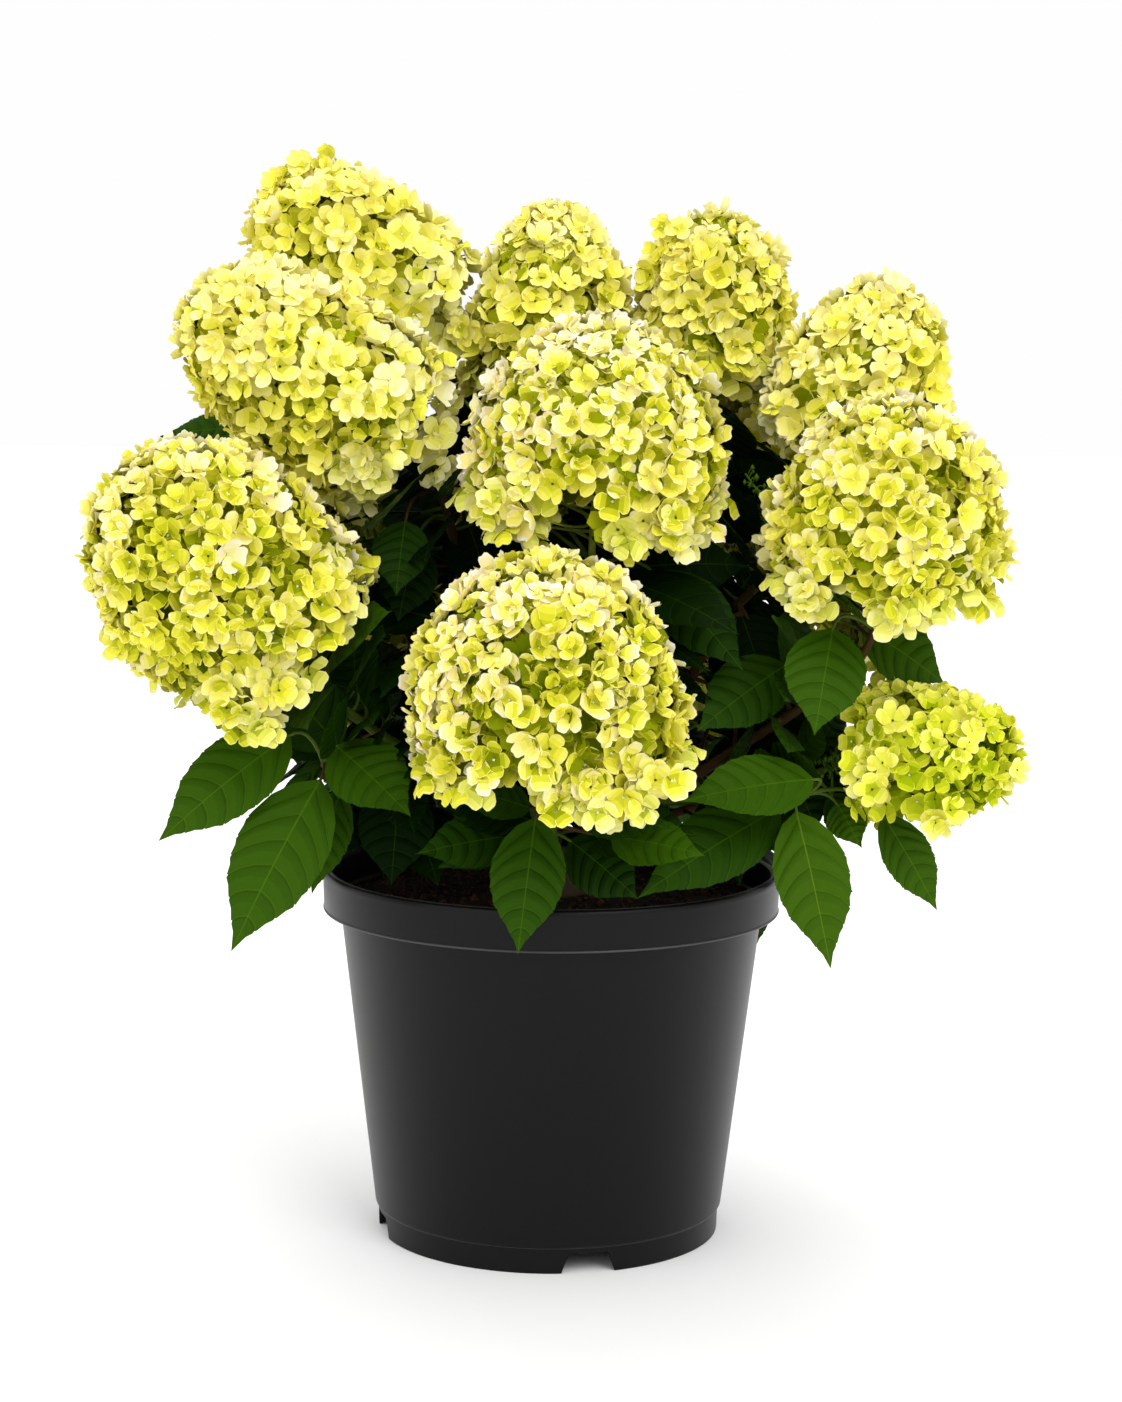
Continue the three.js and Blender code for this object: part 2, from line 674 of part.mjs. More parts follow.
// Blooms that press together are flattened along the plane between them, which runs through
// the middle of what they share, or of the room where their boxes meet.
function partBlooms() {
  const names = Object.keys(BLOOMS).map((name) => "panicle_" + name);
  names.forEach((a, i) =>
    names.slice(i + 1).forEach((b) => {
      const [first, second] = [built.get(a), built.get(b)];
      if (clearOf(first.solid, [second.solid])) return;
      const [p, q] = [first.solid, second.solid].map(boxOf);
      const shared = first.solid.intersect(second.solid);
      const meeting = shared.volume() > 0 ? boxOf(shared) : p.clone().intersect(q);
      const way = middleOf(q).sub(middleOf(p)).normalize();
      const offset = way.dot(middleOf(meeting));
      first.solid = largestPiece(first.solid.trimByPlane(way.clone().negate().toArray(), GAP - offset));
      second.solid = largestPiece(second.solid.trimByPlane(way.toArray(), offset + GAP));
    }),
  );
}
partBlooms();

// Leaves go on last, the shown ones first, and one that would touch anything is skipped.
shoots.forEach((shoot) => built.set("shoot_" + shoot.name, { solid: shoot.stem, colour: "leaf" }));
function addLeaves(shoot, leaves) {
  const key = "shoot_" + shoot.name;
  const others = [...built].filter(([name]) => name !== key).map(([, item]) => item.solid);
  const kept = [];
  for (const tries of leaves) {
    const blades = tries.map(([base, ...rest]) => leaf(nearestOn(shoot.curve, base), base, ...rest));
    const blade = blades.find((candidate) => clearOf(candidate, others));
    if (blade) kept.push(blade);
  }
  built.get(key).solid = wasm.Manifold.union([built.get(key).solid, ...kept]);
}
for (const shoot of shoots) {
  const shown = SHOWN_LEAVES[shoot.name] ?? [];
  addLeaves(shoot, shown.map(([base, tip, width]) => [[vec(base), vec(tip), width, vec(SHOWN_FACE)]]));
}
for (const shoot of shoots) addLeaves(shoot, pairedLeaves(shoot.curve, shoot.pairs, shoot.seed));

// Each solid becomes a named mesh with its own material.
const plant = new THREE.Group();
for (const [name, { solid, colour }] of built) {
  const { vertProperties, triVerts, numProp } = largestPiece(solid).getMesh();
  const positions = new Float32Array((vertProperties.length / numProp) * 3);
  for (let i = 0; i < positions.length / 3; i++) {
    positions.set(vertProperties.subarray(i * numProp, i * numProp + 3), i * 3);
  }
  const geometry = new THREE.BufferGeometry()
    .setAttribute("position", new THREE.BufferAttribute(positions, 3))
    .setIndex(new THREE.BufferAttribute(triVerts, 1));
  geometry.computeVertexNormals();
  const [tint, roughness] = COLOURS[colour];
  const material = new THREE.MeshStandardMaterial({ color: tint, roughness, metalness: 0 });
  const mesh = new THREE.Mesh(geometry, material);
  mesh.name = name;
  plant.add(mesh);
}

export default plant;
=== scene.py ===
# A panicle hydrangea in its black nursery pot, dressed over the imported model. Tables are in
# millimetres in the model's own frame, and meshes are made in metres.
import math
from collections import namedtuple
from types import SimpleNamespace as Values

import bpy
import numpy as np
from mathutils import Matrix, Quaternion, Vector, noise


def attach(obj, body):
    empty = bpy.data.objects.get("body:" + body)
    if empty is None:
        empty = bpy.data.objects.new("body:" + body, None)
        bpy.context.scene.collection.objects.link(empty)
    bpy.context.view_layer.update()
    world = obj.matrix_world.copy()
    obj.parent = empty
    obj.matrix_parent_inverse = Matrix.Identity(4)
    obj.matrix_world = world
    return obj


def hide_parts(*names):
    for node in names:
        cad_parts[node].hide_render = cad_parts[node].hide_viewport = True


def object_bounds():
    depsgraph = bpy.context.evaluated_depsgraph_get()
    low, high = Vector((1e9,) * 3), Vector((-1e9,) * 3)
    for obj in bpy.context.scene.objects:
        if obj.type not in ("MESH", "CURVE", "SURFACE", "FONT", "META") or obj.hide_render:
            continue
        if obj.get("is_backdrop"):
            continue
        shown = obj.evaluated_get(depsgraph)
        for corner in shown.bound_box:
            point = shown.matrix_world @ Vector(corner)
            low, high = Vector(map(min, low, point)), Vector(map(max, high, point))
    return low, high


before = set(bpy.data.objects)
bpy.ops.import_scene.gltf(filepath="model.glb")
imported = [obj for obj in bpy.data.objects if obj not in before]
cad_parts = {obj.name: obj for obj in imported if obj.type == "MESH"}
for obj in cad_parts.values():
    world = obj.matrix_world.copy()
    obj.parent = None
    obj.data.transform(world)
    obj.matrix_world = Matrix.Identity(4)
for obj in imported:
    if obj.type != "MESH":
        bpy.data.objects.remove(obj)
cad_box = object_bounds()

MM = 0.001
UP = np.array([0.0, 0.0, 1.0])
ALONG_X = np.array([1.0, 0.0, 0.0])
GOLDEN_TURN = math.pi * (3 - math.sqrt(5))
# The range of a random spin, in radians.
SPIN = (0, 6.3)

# Where the photograph was taken from, with the lens in millimetres on a sensor of the given width.
CAMERA = Values(place=(4.65, -1903.4, 579.9), pitch=0.132, roll=0.011, lens=80.96, sensor=36)

# The container, the mix and the wood, as in the model's source.
POT = Values(
    height=225, rim=140, rim_depth=25, body_top=129, body_foot=107, sides=176, skirt=104.7,
    skirt_height=16, wall=2.4, floor=4, lip=4, bead_sides=8, crease=38,
)
NOTCH = Values(
    count=4, first_turn=13.6, foot=34, top=25, height=12.4, corner=3, below=5, taper=0.6, inner=84,
    outer=124,
)
SOIL = Values(edge=205, top=211, flat=46)
CROWN = Values(foot=34, height=26, cane_ring=21, cane_start=8, sides=40)
CANE = Values(foot=6.2, tip=4.2, rise=0.45, spread=0.2, sides=14, ring_every=3)
SHOOT = Values(
    foot=3.2, tip=2.3, follow=0.25, foot_bend=0.34, tip_bend=0.22, back=0.16, rings=22, sides=8,
    nodes=3, swelling=0.7, swelling_reach=0.04,
)
SPRIG_RISE = 40
# Solids that rest on each other keep this much air.
AIR = 0.35

LEAF = Values(
    length=98, width_share=0.54, petiole=15, arch=0.1, droop=0.42, rise=0.5, first_node=0.3,
    node_span=0.6, shortest=0.78, length_range=0.34,
)
LEAF_TRIES = ((0, 1), (0.5, 0.86), (-0.5, 0.74), (0.25, 0.6))
SHOWN_FACE = (0, -0.85, 0.55)
# Finer growth inside the crown stays in a bowl of these sizes.
BOWL = Values(foot=232, reach=138, opening=0.8, widest=186)
# How far it may reach into a flower head and past the solids' box, and its room over the pot.
ROOM = Values(in_flower=1, over_pot=3, round_pot=4, past_box=4)
# Each pass of finer growth: leaf pairs on a shoot, and the least room between leaves.
FINER_PASSES = ((4, 13), (5, 11), (6, 9))
SEEDS = Values(
    shoots=100, sprigs=300, finer=1000, finer_step=50, mix=41, leaves=77, florets=5, heads=500,
    buds=88,
)

BLOOM = Values(
    centre=0.45, widest=0.3, pinch=0.52, pinch_power=2.2, stalk=9, upturn=0.8, gap=0.35,
)
# A head of florets opens wider below than its solid, and is hollow from beneath.
HEAD = Values(pinch=0.26, skirt=0.1, hollow=0.3, sunk=9, down=60, under=12)
# How far under the solid's surface the outer florets lie, on the heads where that differs.
SUNK = {"back_left": 3, "small": 4, "left": 6.5, "upper_left": 6, "upper_right": 7.5, "right": 7.5}

# Each cane: where it forks, and its compass turn on the crown.
CANES = {
    "front": ((2, -75, 246), -90),
    "left_front": ((-64, -40, 286), -135),
    "right_front": ((84, -34, 286), -45),
    "middle": ((4, -14, 330), None),
    "upper_left": ((-48, 10, 352), 180),
    "upper_right": ((66, 22, 352), 0),
    "rear_left": ((-62, 62, 286), 135),
    "rear_right": ((60, 66, 288), 45),
    "rear": ((-4, 78, 276), 90),
}


# Each bloom: its middle, its lean, its sizes, its cane, its shoot's leaf pairs, and the way its
# stalk enters where that is not upward.
Bloom = namedtuple("Bloom", "at lean long radius blunt cane pairs enter", defaults=[None])
BLOOMS = {
    "front": Bloom((-4, -152, 357), (-0.05, -0.3, 1), 144, 81, 2.1, "front", 0),
    "centre": Bloom((23, -72, 489), (0.02, -0.25, 1), 138, 79, 2.2, "middle", 3),
    "right": Bloom((192, -88, 449), (0.08, -0.25, 1), 130, 70, 2.2, "right_front", 2),
    "left": Bloom((-192, -98, 412), (-0.6, -0.38, 0.7), 158, 71, 2.6, "left_front", 2),
    "upper_left": Bloom((-142, -22, 520), (-0.78, -0.15, 0.54), 168, 58, 2.9, "upper_left", 3),
    "back_left": Bloom(
        (-122, 68, 588), (-0.76, 0.05, 0.62), 138, 52, 2.8, "upper_left", 3, (-0.3, -0.6, 0.75)
    ),
    "back_mid": Bloom((-4, 62, 560), (-0.02, 0.1, 1), 136, 55, 1.7, "middle", 3),
    "back_right": Bloom((96, 72, 560), (0.1, 0.12, 1), 126, 53, 2.5, "upper_right", 3),
    "upper_right": Bloom((186, 14, 522), (0.26, 0.06, 0.9), 122, 57, 1.8, "upper_right", 3),
    "small": Bloom((218, -60, 306), (0.95, -0.25, 0.06), 104, 45, 2, "right_front", 2),
    "rear_left": Bloom((-150, 124, 456), (-0.55, 0.55, 0.6), 146, 64, 2.4, "rear_left", 3),
    "rear_mid": Bloom((-20, 148, 476), (-0.08, 0.5, 0.85), 142, 66, 2.3, "rear", 3),
    "rear_right": Bloom((128, 138, 462), (0.38, 0.55, 0.7), 144, 64, 2.3, "rear_right", 3),
    "low_rear_left": Bloom((-90, 157, 332), (-0.35, 0.75, 0.6), 134, 62, 2.3, "rear_left", 2),
    "low_rear_right": Bloom((62, 160, 336), (0.3, 0.75, 0.6), 138, 64, 2.3, "rear", 2),
    "side_right": Bloom((202, 78, 404), (0.75, 0.4, 0.55), 122, 54, 2.2, "rear_right", 2),
    "side_left": Bloom((-204, 60, 370), (-0.8, 0.25, 0.55), 122, 52, 2.2, "rear_left", 2),
}
YOUNG_HEAD = "small"
# How the names of the heads begin that do not show from the front.
BEHIND = ("rear", "low", "side")

# Leafy shoots with no flower: where each ends, its cane and its leaf pairs.
SPRIGS = {
    "under_left": ((-134, -86, 300), "left_front", 0),
    "under_right": ((150, -78, 284), "right_front", 0),
    "inner_left": ((-70, -58, 384), "left_front", 3),
    "inner_right": ((114, -18, 384), "right_front", 3),
    "under_rear": ((-16, 158, 258), "rear", 3),
    "under_rear_left": ((-146, 96, 262), "rear_left", 3),
    "under_rear_right": ((128, 120, 266), "rear_right", 3),
    "under_side_left": ((-112, 24, 252), "left_front", 2),
    "under_side_right": ((122, 26, 270), "right_front", 2),
}

# Leaves that show from the front: the blade's base, its tip and its width, by shoot.
SHOWN_LEAVES = {
    "upper_left": (((-88, -52, 440), (-92, -78, 398), 36), ((-82, -40, 426), (-92, -52, 380), 38)),
    "front": (
        ((-16, -112, 264), (-77, -146, 258), 36),
        ((-9, -140, 279), (-18, -168, 206), 45),
        ((10, -116, 262), (50, -127, 230), 42),
        ((34, -128, 266), (86, -160, 262), 34),
    ),
    "right": (
        ((161, -94, 384), (149, -128, 326), 50),
        ((182, -52, 380), (232, -50, 346), 42),
        ((138, -56, 358), (84, -88, 322), 46),
    ),
    "centre": (((58, -58, 412), (110, -92, 358), 44), ((-8, -58, 398), (-66, -78, 394), 42)),
    "under_left": (
        ((-152, -92, 318), (-224, -128, 261), 50),
        ((-134, -98, 293), (-181, -146, 201), 57),
        ((-124, -78, 284), (-139, -100, 226), 30),
        ((-126, -92, 312), (-80, -136, 278), 48),
    ),
    "under_right": (
        ((152, -98, 296), (73, -134, 288), 44),
        ((134, -80, 276), (50, -128, 231), 48),
        ((142, -96, 277), (160, -142, 194), 46),
        ((168, -68, 277), (181, -80, 254), 27),
        ((196, -58, 269), (229, -64, 213), 32),
    ),
}

# Leaves that only show at the edge of the crown, added to the shoots.
EDGE_LEAVES = {
    "centre": (((-54, 6, 438), (-38, -10, 392), 46), ((-84, 14, 500), (-78, 0, 456), 34)),
    "right": (((112, -18, 384), (126, -44, 342), 40),),
    "under_rear": (((-34, 44, 292), (-10, 66, 250), 46), ((24, 48, 284), (14, 70, 236), 46)),
    "rear_left": (((-186, 44, 489), (-246, 60, 482), 24),),
    "under_left": (
        ((-90, -58, 286), (-94, -80, 227), 48),
        ((-112, -34, 276), (-142, -62, 236), 42),
        ((-84, -36, 268), (-66, -86, 228), 46),
    ),
    "under_right": (
        ((96, -50, 280), (112, -70, 228), 46),
        ((118, -40, 284), (150, -52, 238), 40),
        ((166, -50, 280), (184, -60, 249), 28),
        ((126, -6, 336), (144, -18, 292), 46),
        ((106, 8, 306), (124, -6, 264), 44),
        ((148, -30, 308), (174, -50, 266), 38),
        ((128, -10, 300), (140, -40, 262), 42),
        ((142, -42, 297), (157, -58, 257), 38),
    ),
}

# Tips of leaves that the solids have and the photograph does not show.
NOT_SHOWN = np.array([(170, -170, 353), (182, 20, 174), (-232, 7, 298), (-154, 114, 174)])
# How near a leaf's tip comes to the solid's own, and how far it keeps from a tip that is not shown.
TIP_MATCH = Values(solid=0.8, not_shown=3)

# Florets that hang loose at a head's edge: the middle of each group and its number.
TUFTS = {
    "front": (
        ((4, -206, 310), 4), ((20, -206, 312), 5), ((12, -206, 302), 4), ((30, -206, 299), 6),
        ((46, -204, 302), 6), ((56, -202, 312), 5), ((-52, -190, 312), 3),
    ),
    "centre": (((-28, -120, 456), 5), ((66, -120, 444), 6), ((72, -116, 436), 3)),
    "right": (((143, -130, 406), 5), ((196, -130, 398), 6)),
    "left": (
        ((-181, -146, 348), 6), ((-156, -150, 354), 7), ((-167, -146, 334), 7), ((-250, -96, 462), 5),
        ((-257, -99, 448), 5), ((-245, -118, 392), 4), ((-239, -122, 381), 5), ((-229, -126, 374), 5),
    ),
    "upper_left": (
        ((-112, -60, 468), 6), ((-76, -44, 488), 6), ((-72, -44, 472), 4), ((-73, -22, 505), 4),
    ),
    "small": (
        ((192, -92, 303), 4), ((187, -92, 288), 3), ((222, -94, 274), 3), ((188, -88, 318), 3),
        ((262, -78, 296), 3),
    ),
    "back_left": (
        ((-164, 58, 643), 5), ((-147, 58, 648), 5), ((-72, 48, 566), 5), ((-60, 44, 556), 6),
        ((-86, 44, 542), 5), ((-72, 42, 550), 4),
    ),
    "back_mid": (((-50, 36, 546), 5),),
    "back_right": (((70, 58, 608), 6), ((64, 56, 600), 5), ((60, 54, 590), 5)),
}
# A group's limit and reach, the ways its florets turn, their sizes and their painted light.
TUFT = Values(
    limit=1.3, reach=(7, 5, 5), turn=(0.7, 1, 0.3), forward=(0, -42, 0), scatter=14,
    sizes=(0.82, 1.02), shares=(0.05, 0.9), light=0.62, young_light=0.2, light_spread=0.12,
)

# Places in the heads where no floret grows: the middle and the reach of each.
GAPS = {
    "front": (((-16, -208, 305), 16), ((-30, -196, 280), 22), ((-72, -184, 282), 13)),
    "centre": (((11, -138, 452), 19), ((12, -124, 438), 18), ((16, -108, 424), 18)),
    "right": (((161, -144, 410), 15), ((162, -132, 398), 16), ((225, -116, 389), 15)),
    "left": (
        ((-200, -148, 354), 14), ((-205, -142, 338), 18), ((-217, -122, 336), 18),
        ((-206, -100, 336), 18), ((-112, -138, 344), 22),
    ),
    "upper_right": (((162, 8, 575), 14),),
    "back_right": (((149, 66, 590), 13),),
    "small": (
        ((205, -72, 258), 27), ((186, -60, 262), 22), ((240, -80, 275), 11),
        ((208, -96, 289), 9), ((208, -72, 286), 12), ((208, -44, 282), 14),
    ),
}

# Unopened green clusters between the heads, each at its place on a shoot.
BUD_SPRAYS = {"right": ((113, -22, 468), (124, -24, 440)), "small": ((168, -62, 300),)}
BUD = Values(
    foot=1.3, tip=0.6, rings=8, sides=5, sag=6, stalk=(0.45, 0.4, 0.4),
    count=46, first=0.35, span=0.65, reach=5, opening=13, rise=0.6, reaches=(0.7, 1.2),
    lump=(1.4, 1.4, 2.1), sizes=(0.7, 1.3),
)


def unit(v):
    v = np.asarray(v, float)
    return v / np.linalg.norm(v)


def seeded(seed):
    """The source's generator of numbers from 0 to 1."""
    mask = 0xFFFFFFFF
    state = seed & mask

    def draw():
        nonlocal state
        state = (state + 0x6D2B79F5) & mask
        t = ((state ^ (state >> 15)) * (1 | state)) & mask
        t = ((t + (((t ^ (t >> 7)) * (61 | t)) & mask)) & mask) ^ t
        return ((t ^ (t >> 14)) & mask) / 4294967296

    return draw


class Curve:
    """A Bézier curve through its first and last points."""

    def __init__(self, *points):
        self.points = np.array(points, float)

    @staticmethod
    def _blend(points, t):
        while len(points) > 1:
            points = points[:-1] * (1 - t) + points[1:] * t
        return points[0]

    def at(self, t):
        return self._blend(self.points, t)

    def way(self, t):
        return unit(self._blend(np.diff(self.points, axis=0), t))

    def along(self, count):
        return np.array([self.at(t) for t in np.linspace(0, 1, count)])


def cane_curve(fork, turn):
    fork = np.array(fork, float)
    out = np.zeros(3)
    if turn is not None:
        out[:2] = math.cos(math.radians(turn)), math.sin(math.radians(turn))
    start = out * CROWN.cane_ring + UP * (SOIL.top + CROWN.cane_start)
    reach = np.linalg.norm(fork - start)
    rising = start + UP * reach * CANE.rise + out * reach * CANE.spread
    return Curve(start, rising, fork)


def shoot_curve(cane, rank, end, lean):
    start = cane.at(1 - SHOOT.back * rank)
    apart = np.linalg.norm(end - start)
    away = unit(unit(end - start) + cane.way(1) * SHOOT.follow)
    leaving = start + away * apart * SHOOT.foot_bend
    return Curve(start, leaving, end - lean * apart * SHOOT.tip_bend, end)


def stalk_way(bloom):
    if bloom.enter:
        return unit(bloom.enter)
    return unit(unit(bloom.lean) + UP * BLOOM.upturn)


def bloom_frame(bloom):
    """The bloom's foot, its axis and two directions across it."""
    axis = unit(bloom.lean)
    foot = np.array(bloom.at, float) - axis * bloom.long * BLOOM.centre
    u = unit(np.cross(UP, axis))
    return foot, axis, u, np.cross(axis, u)


def bloom_profile(share, blunt, pinch=BLOOM.pinch):
    """Radius of a bloom, as a share of its greatest, from its foot at 0 to its tip at 1."""
    if share < BLOOM.widest:
        t = (BLOOM.widest - share) / BLOOM.widest
        return math.sqrt(1 - pinch * t ** BLOOM.pinch_power)
    t = (share - BLOOM.widest) / (1 - BLOOM.widest)
    return math.sqrt(max(0, 1 - t**blunt))


def depth_in(bloom, p):
    """How far a point lies under a bloom's surface, or a negative number outside it."""
    foot, axis, _, _ = bloom_frame(bloom)
    along = float(np.dot(p - foot, axis))
    share = along / bloom.long
    if not 0 < share < 1:
        return -abs(along)
    across = np.linalg.norm(p - foot - axis * along)
    return min(bloom.radius * bloom_profile(share, bloom.blunt) - across, along)


class Heap:
    """Gathers small meshes with tinted faces and makes one object of them."""

    def __init__(self):
        self.points = []
        self.faces = []
        self.tints = []
        self.count = 0

    def add(self, points, faces, tints):
        """faces has four corners a row, the last -1 in a triangle; tints are material names."""
        self.points.append(np.asarray(points, float))
        faces = np.asarray(faces)
        self.faces.append(np.where(faces < 0, -1, faces + self.count))
        self.tints.extend([tints] * len(faces) if isinstance(tints, str) else tints)
        self.count += len(points)

    def build(self, name, smooth=True):
        points = np.concatenate(self.points) * MM
        faces = np.concatenate(self.faces)
        sizes = np.where(faces[:, 3] < 0, 3, 4)
        names = sorted(set(self.tints))
        numbers = {tint: i for i, tint in enumerate(names)}
        mesh = bpy.data.meshes.new(name)
        mesh.vertices.add(len(points))
        mesh.vertices.foreach_set("co", points.ravel())
        corners = faces.ravel()
        corners = corners[corners >= 0]
        mesh.loops.add(len(corners))
        mesh.loops.foreach_set("vertex_index", corners.astype(np.int32))
        mesh.polygons.add(len(faces))
        starts = np.concatenate([[0], np.cumsum(sizes)[:-1]])
        mesh.polygons.foreach_set("loop_start", starts.astype(np.int32))
        mesh.polygons.foreach_set("material_index", [numbers[tint] for tint in self.tints])
        mesh.polygons.foreach_set("use_smooth", [smooth] * len(faces))
        for tint in names:
            mesh.materials.append(MATERIALS[tint])
        mesh.update(calc_edges=True)
        mesh.validate()
        made = bpy.data.objects.new(name, mesh)
        bpy.context.scene.collection.objects.link(made)
        return made


def grid_faces(rows, columns, closed=False):
    """Quads over rows of points; closed joins each row's end to its start."""
    across = columns if closed else columns - 1
    i = np.arange(rows - 1)[:, None] * columns
    k = np.arange(across)[None, :]
    m = (k + 1) % columns
    return np.stack([i + k, i + m, i + columns + m, i + columns + k], -1).reshape(-1, 4)


def capped(heap, rings, tint, ends=None):
    """A closed body over rings of points, its ends drawn to two points, or to their middles."""
    count, sides = len(rings), rings.shape[1]
    body = rings.reshape(-1, 3)
    if ends is None:
        ends = [rings[0].mean(0), rings[-1].mean(0)]
    k = np.arange(sides)
    m = (k + 1) % sides
    last = (count - 1) * sides
    blank = -np.ones(sides, int)
    foot = np.stack([m, k, np.full(sides, len(body)), blank], -1)
    head = np.stack([last + k, last + m, np.full(sides, len(body) + 1), blank], -1)
    faces = np.concatenate([grid_faces(count, sides, closed=True), foot, head])
    heap.add(np.concatenate([body, ends]), faces, tint)


def rings_along(points, radii, sides):
    """Rings of points round a path, kept from twisting."""
    points = np.asarray(points, float)
    ways = np.gradient(points, axis=0)
    across = ALONG_X if abs(unit(ways[0])[2]) > 0.9 else UP
    turns = np.arange(sides) * 2 * math.pi / sides
    rings = []
    for point, way, radius in zip(points, ways, radii):
        way = unit(way)
        u = unit(across - way * np.dot(across, way))
        v = np.cross(way, u)
        across = u
        ring = np.outer(np.cos(turns), u) + np.outer(np.sin(turns), v)
        rings.append(point + ring * np.reshape(radius, (-1, 1)))
    return np.array(rings)


def tube(heap, points, radii, sides, tint):
    """A tapering tube with both ends closed."""
    capped(heap, rings_along(points, radii, sides), tint)


def limb(heap, curve, sizes, tint):
    """A tube along a curve that tapers evenly from its foot to its tip."""
    radii = np.linspace(sizes.foot, sizes.tip, sizes.rings)
    tube(heap, curve.along(sizes.rings), radii, sizes.sides, tint)


def level_ring(radius, height, sides):
    """Points in a level circle round the Z axis."""
    turns = np.arange(sides) * 2 * math.pi / sides
    return np.stack([radius * np.cos(turns), radius * np.sin(turns), np.full(sides, height)], -1)


def turned(heap, path, sides, tint):
    """A closed body turned round the Z axis from a path that starts and ends on it."""
    rings = np.array([level_ring(r, z, sides) for r, z in path[1:-1]])
    capped(heap, rings, tint, [(0, 0, path[0][1]), (0, 0, path[-1][1])])


def lumps(p, size, depth=2):
    """Smooth noise from about -1 to 1 at a point, for lumps of the given size."""
    return noise.fractal(Vector(p) / size, 1.0, 2.0, depth)


def chip():
    """The points and faces of a small lump with eight sides."""
    points = np.array([(1, 0, 0), (-1, 0, 0), (0, 1, 0), (0, -1, 0), (0, 0, 1), (0, 0, -1)], float)
    faces = []
    for x in (0, 1):
        for y in (2, 3):
            for z in (4, 5):
                faces.append((x, y, z, -1) if (x + y + z) % 2 == 0 else (x, z, y, -1))
    return points, np.array(faces)


MATERIALS = {}


def surface(name, colour, roughness, bump, grain, shine=0.5, glow=0.0, spread=0.08, stretch=1):
    """A principled material of one colour whose roughness and relief come from noise."""
    material = bpy.data.materials.new(name)
    material.use_nodes = True
    tree = material.node_tree
    shader = tree.nodes["Principled BSDF"]
    shader.inputs["Base Color"].default_value = (*colour, 1)
    shader.inputs["Specular IOR Level"].default_value = shine
    if glow:
        shader.subsurface_method = "BURLEY"
        shader.inputs["Subsurface Weight"].default_value = glow
        shader.inputs["Subsurface Radius"].default_value = (1, 0.9, 0.35)
        shader.inputs["Subsurface Scale"].default_value = 4 * MM
    place = tree.nodes.new("ShaderNodeTexCoord")
    scale = tree.nodes.new("ShaderNodeMapping")
    scale.inputs["Scale"].default_value = (1, 1, 1 / stretch)
    grit = tree.nodes.new("ShaderNodeTexNoise")
    grit.inputs["Scale"].default_value = 1 / MM / grain
    grit.inputs["Detail"].default_value = 3
    ramp = tree.nodes.new("ShaderNodeMapRange")
    ramp.inputs["To Min"].default_value = roughness - spread
    ramp.inputs["To Max"].default_value = roughness + spread
    relief = tree.nodes.new("ShaderNodeBump")
    relief.inputs["Distance"].default_value = bump * MM
    relief.inputs["Strength"].default_value = 1
    link = tree.links.new
    link(place.outputs["Object"], scale.inputs["Vector"])
    link(scale.outputs["Vector"], grit.inputs["Vector"])
    link(grit.outputs["Fac"], ramp.inputs["Value"])
    link(ramp.outputs["Result"], shader.inputs["Roughness"])
    link(grit.outputs["Fac"], relief.inputs["Height"])
    link(relief.outputs["Normal"], shader.inputs["Normal"])
    MATERIALS[name] = material


def ladder(prefix, count, *keys):
    """Named tints at even steps between key colours, from the darkest up."""
    keys = np.array(keys)
    places = np.linspace(0, len(keys) - 1, count)
    tints = [[np.interp(place, range(len(keys)), keys[:, c]) for c in range(3)] for place in places]
    return [(f"{prefix}_{number}", tint) for number, tint in enumerate(tints)]


# Key colours of the florets, from deep lime inside a head to the pale rims, and of the leaves.
# The deep tints are dealt as painted shade and the pale ones as painted light and highlights.
LADDERS = {
    "head": ladder(
        "floret", 13, (0.110, 0.150, 0.001), (0.270, 0.310, 0.004), (0.500, 0.505, 0.014),
        (0.705, 0.670, 0.046), (0.850, 0.785, 0.185), (0.890, 0.820, 0.470), (0.915, 0.860, 0.740),
    ),
    # Brighter, clearer tints for the heads given more painted light.
    "high": ladder(
        "high", 9, (0.130, 0.165, 0.001), (0.500, 0.500, 0.014), (0.780, 0.735, 0.075),
        (0.895, 0.830, 0.230), (0.925, 0.870, 0.470),
    ),
    "skirt": ladder(
        "skirt", 9, (0.230, 0.280, 0.008), (0.500, 0.525, 0.035), (0.745, 0.730, 0.140),
        (0.880, 0.840, 0.390), (0.920, 0.885, 0.680),
    ),
    "young": ladder(
        "young", 9, (0.085, 0.150, 0.001), (0.320, 0.410, 0.004), (0.630, 0.660, 0.022),
        (0.850, 0.820, 0.130), (0.945, 0.905, 0.400),
    ),
    "leaf": ladder(
        "leaf", 17, (0.0024, 0.012, 0.0002), (0.013, 0.044, 0.0007), (0.028, 0.078, 0.0012),
        (0.046, 0.108, 0.0025), (0.110, 0.190, 0.0140),
    ),
}
# The finish that all tints of the florets share, and that of the leaves.
PETAL = {"roughness": 0.7, "bump": 0.05, "grain": 1.1, "shine": 0.02, "glow": 0.25}
LEAF_SKIN = {"roughness": 0.55, "bump": 0.12, "grain": 1.6, "shine": 0.04, "spread": 0.1}
BARK = {"bump": 0.5, "grain": 2.4, "stretch": 5}
TWIG = {"roughness": 0.6, "bump": 0.12, "grain": 1.4, "shine": 0.08, "stretch": 3}
# How many steps the claws, the inner and outer blades and the rims lie from a floret's own tint,
# and how many florets have the deep ones. The darker claws and inner blades are partly their own
# green and partly painted shade in the cup; the paler rims are a painted highlight.
TINT_STEPS = {"deep": (-4, -2, 0, 2), "plain": (-2, -1, 0, 1)}
SHADED_CUP_SHARE = 0.6
# A floret's own tint by its painted light, as a share of its ladder.
TINT_RANGE = Values(first=0.16, span=0.74)
# Painted light: heads whose florets get paler tints than the rest for the light they stand in.
HEAD_PAINTED_LIGHT = {"upper_left": 0.13, "upper_right": 0.13, "back_right": 0.08, "back_mid": 0.06}
HEAD_PAINTED_LIGHT.update({"front": 0.04, "centre": 0.04, "left": 0.02, "small": 0.02})
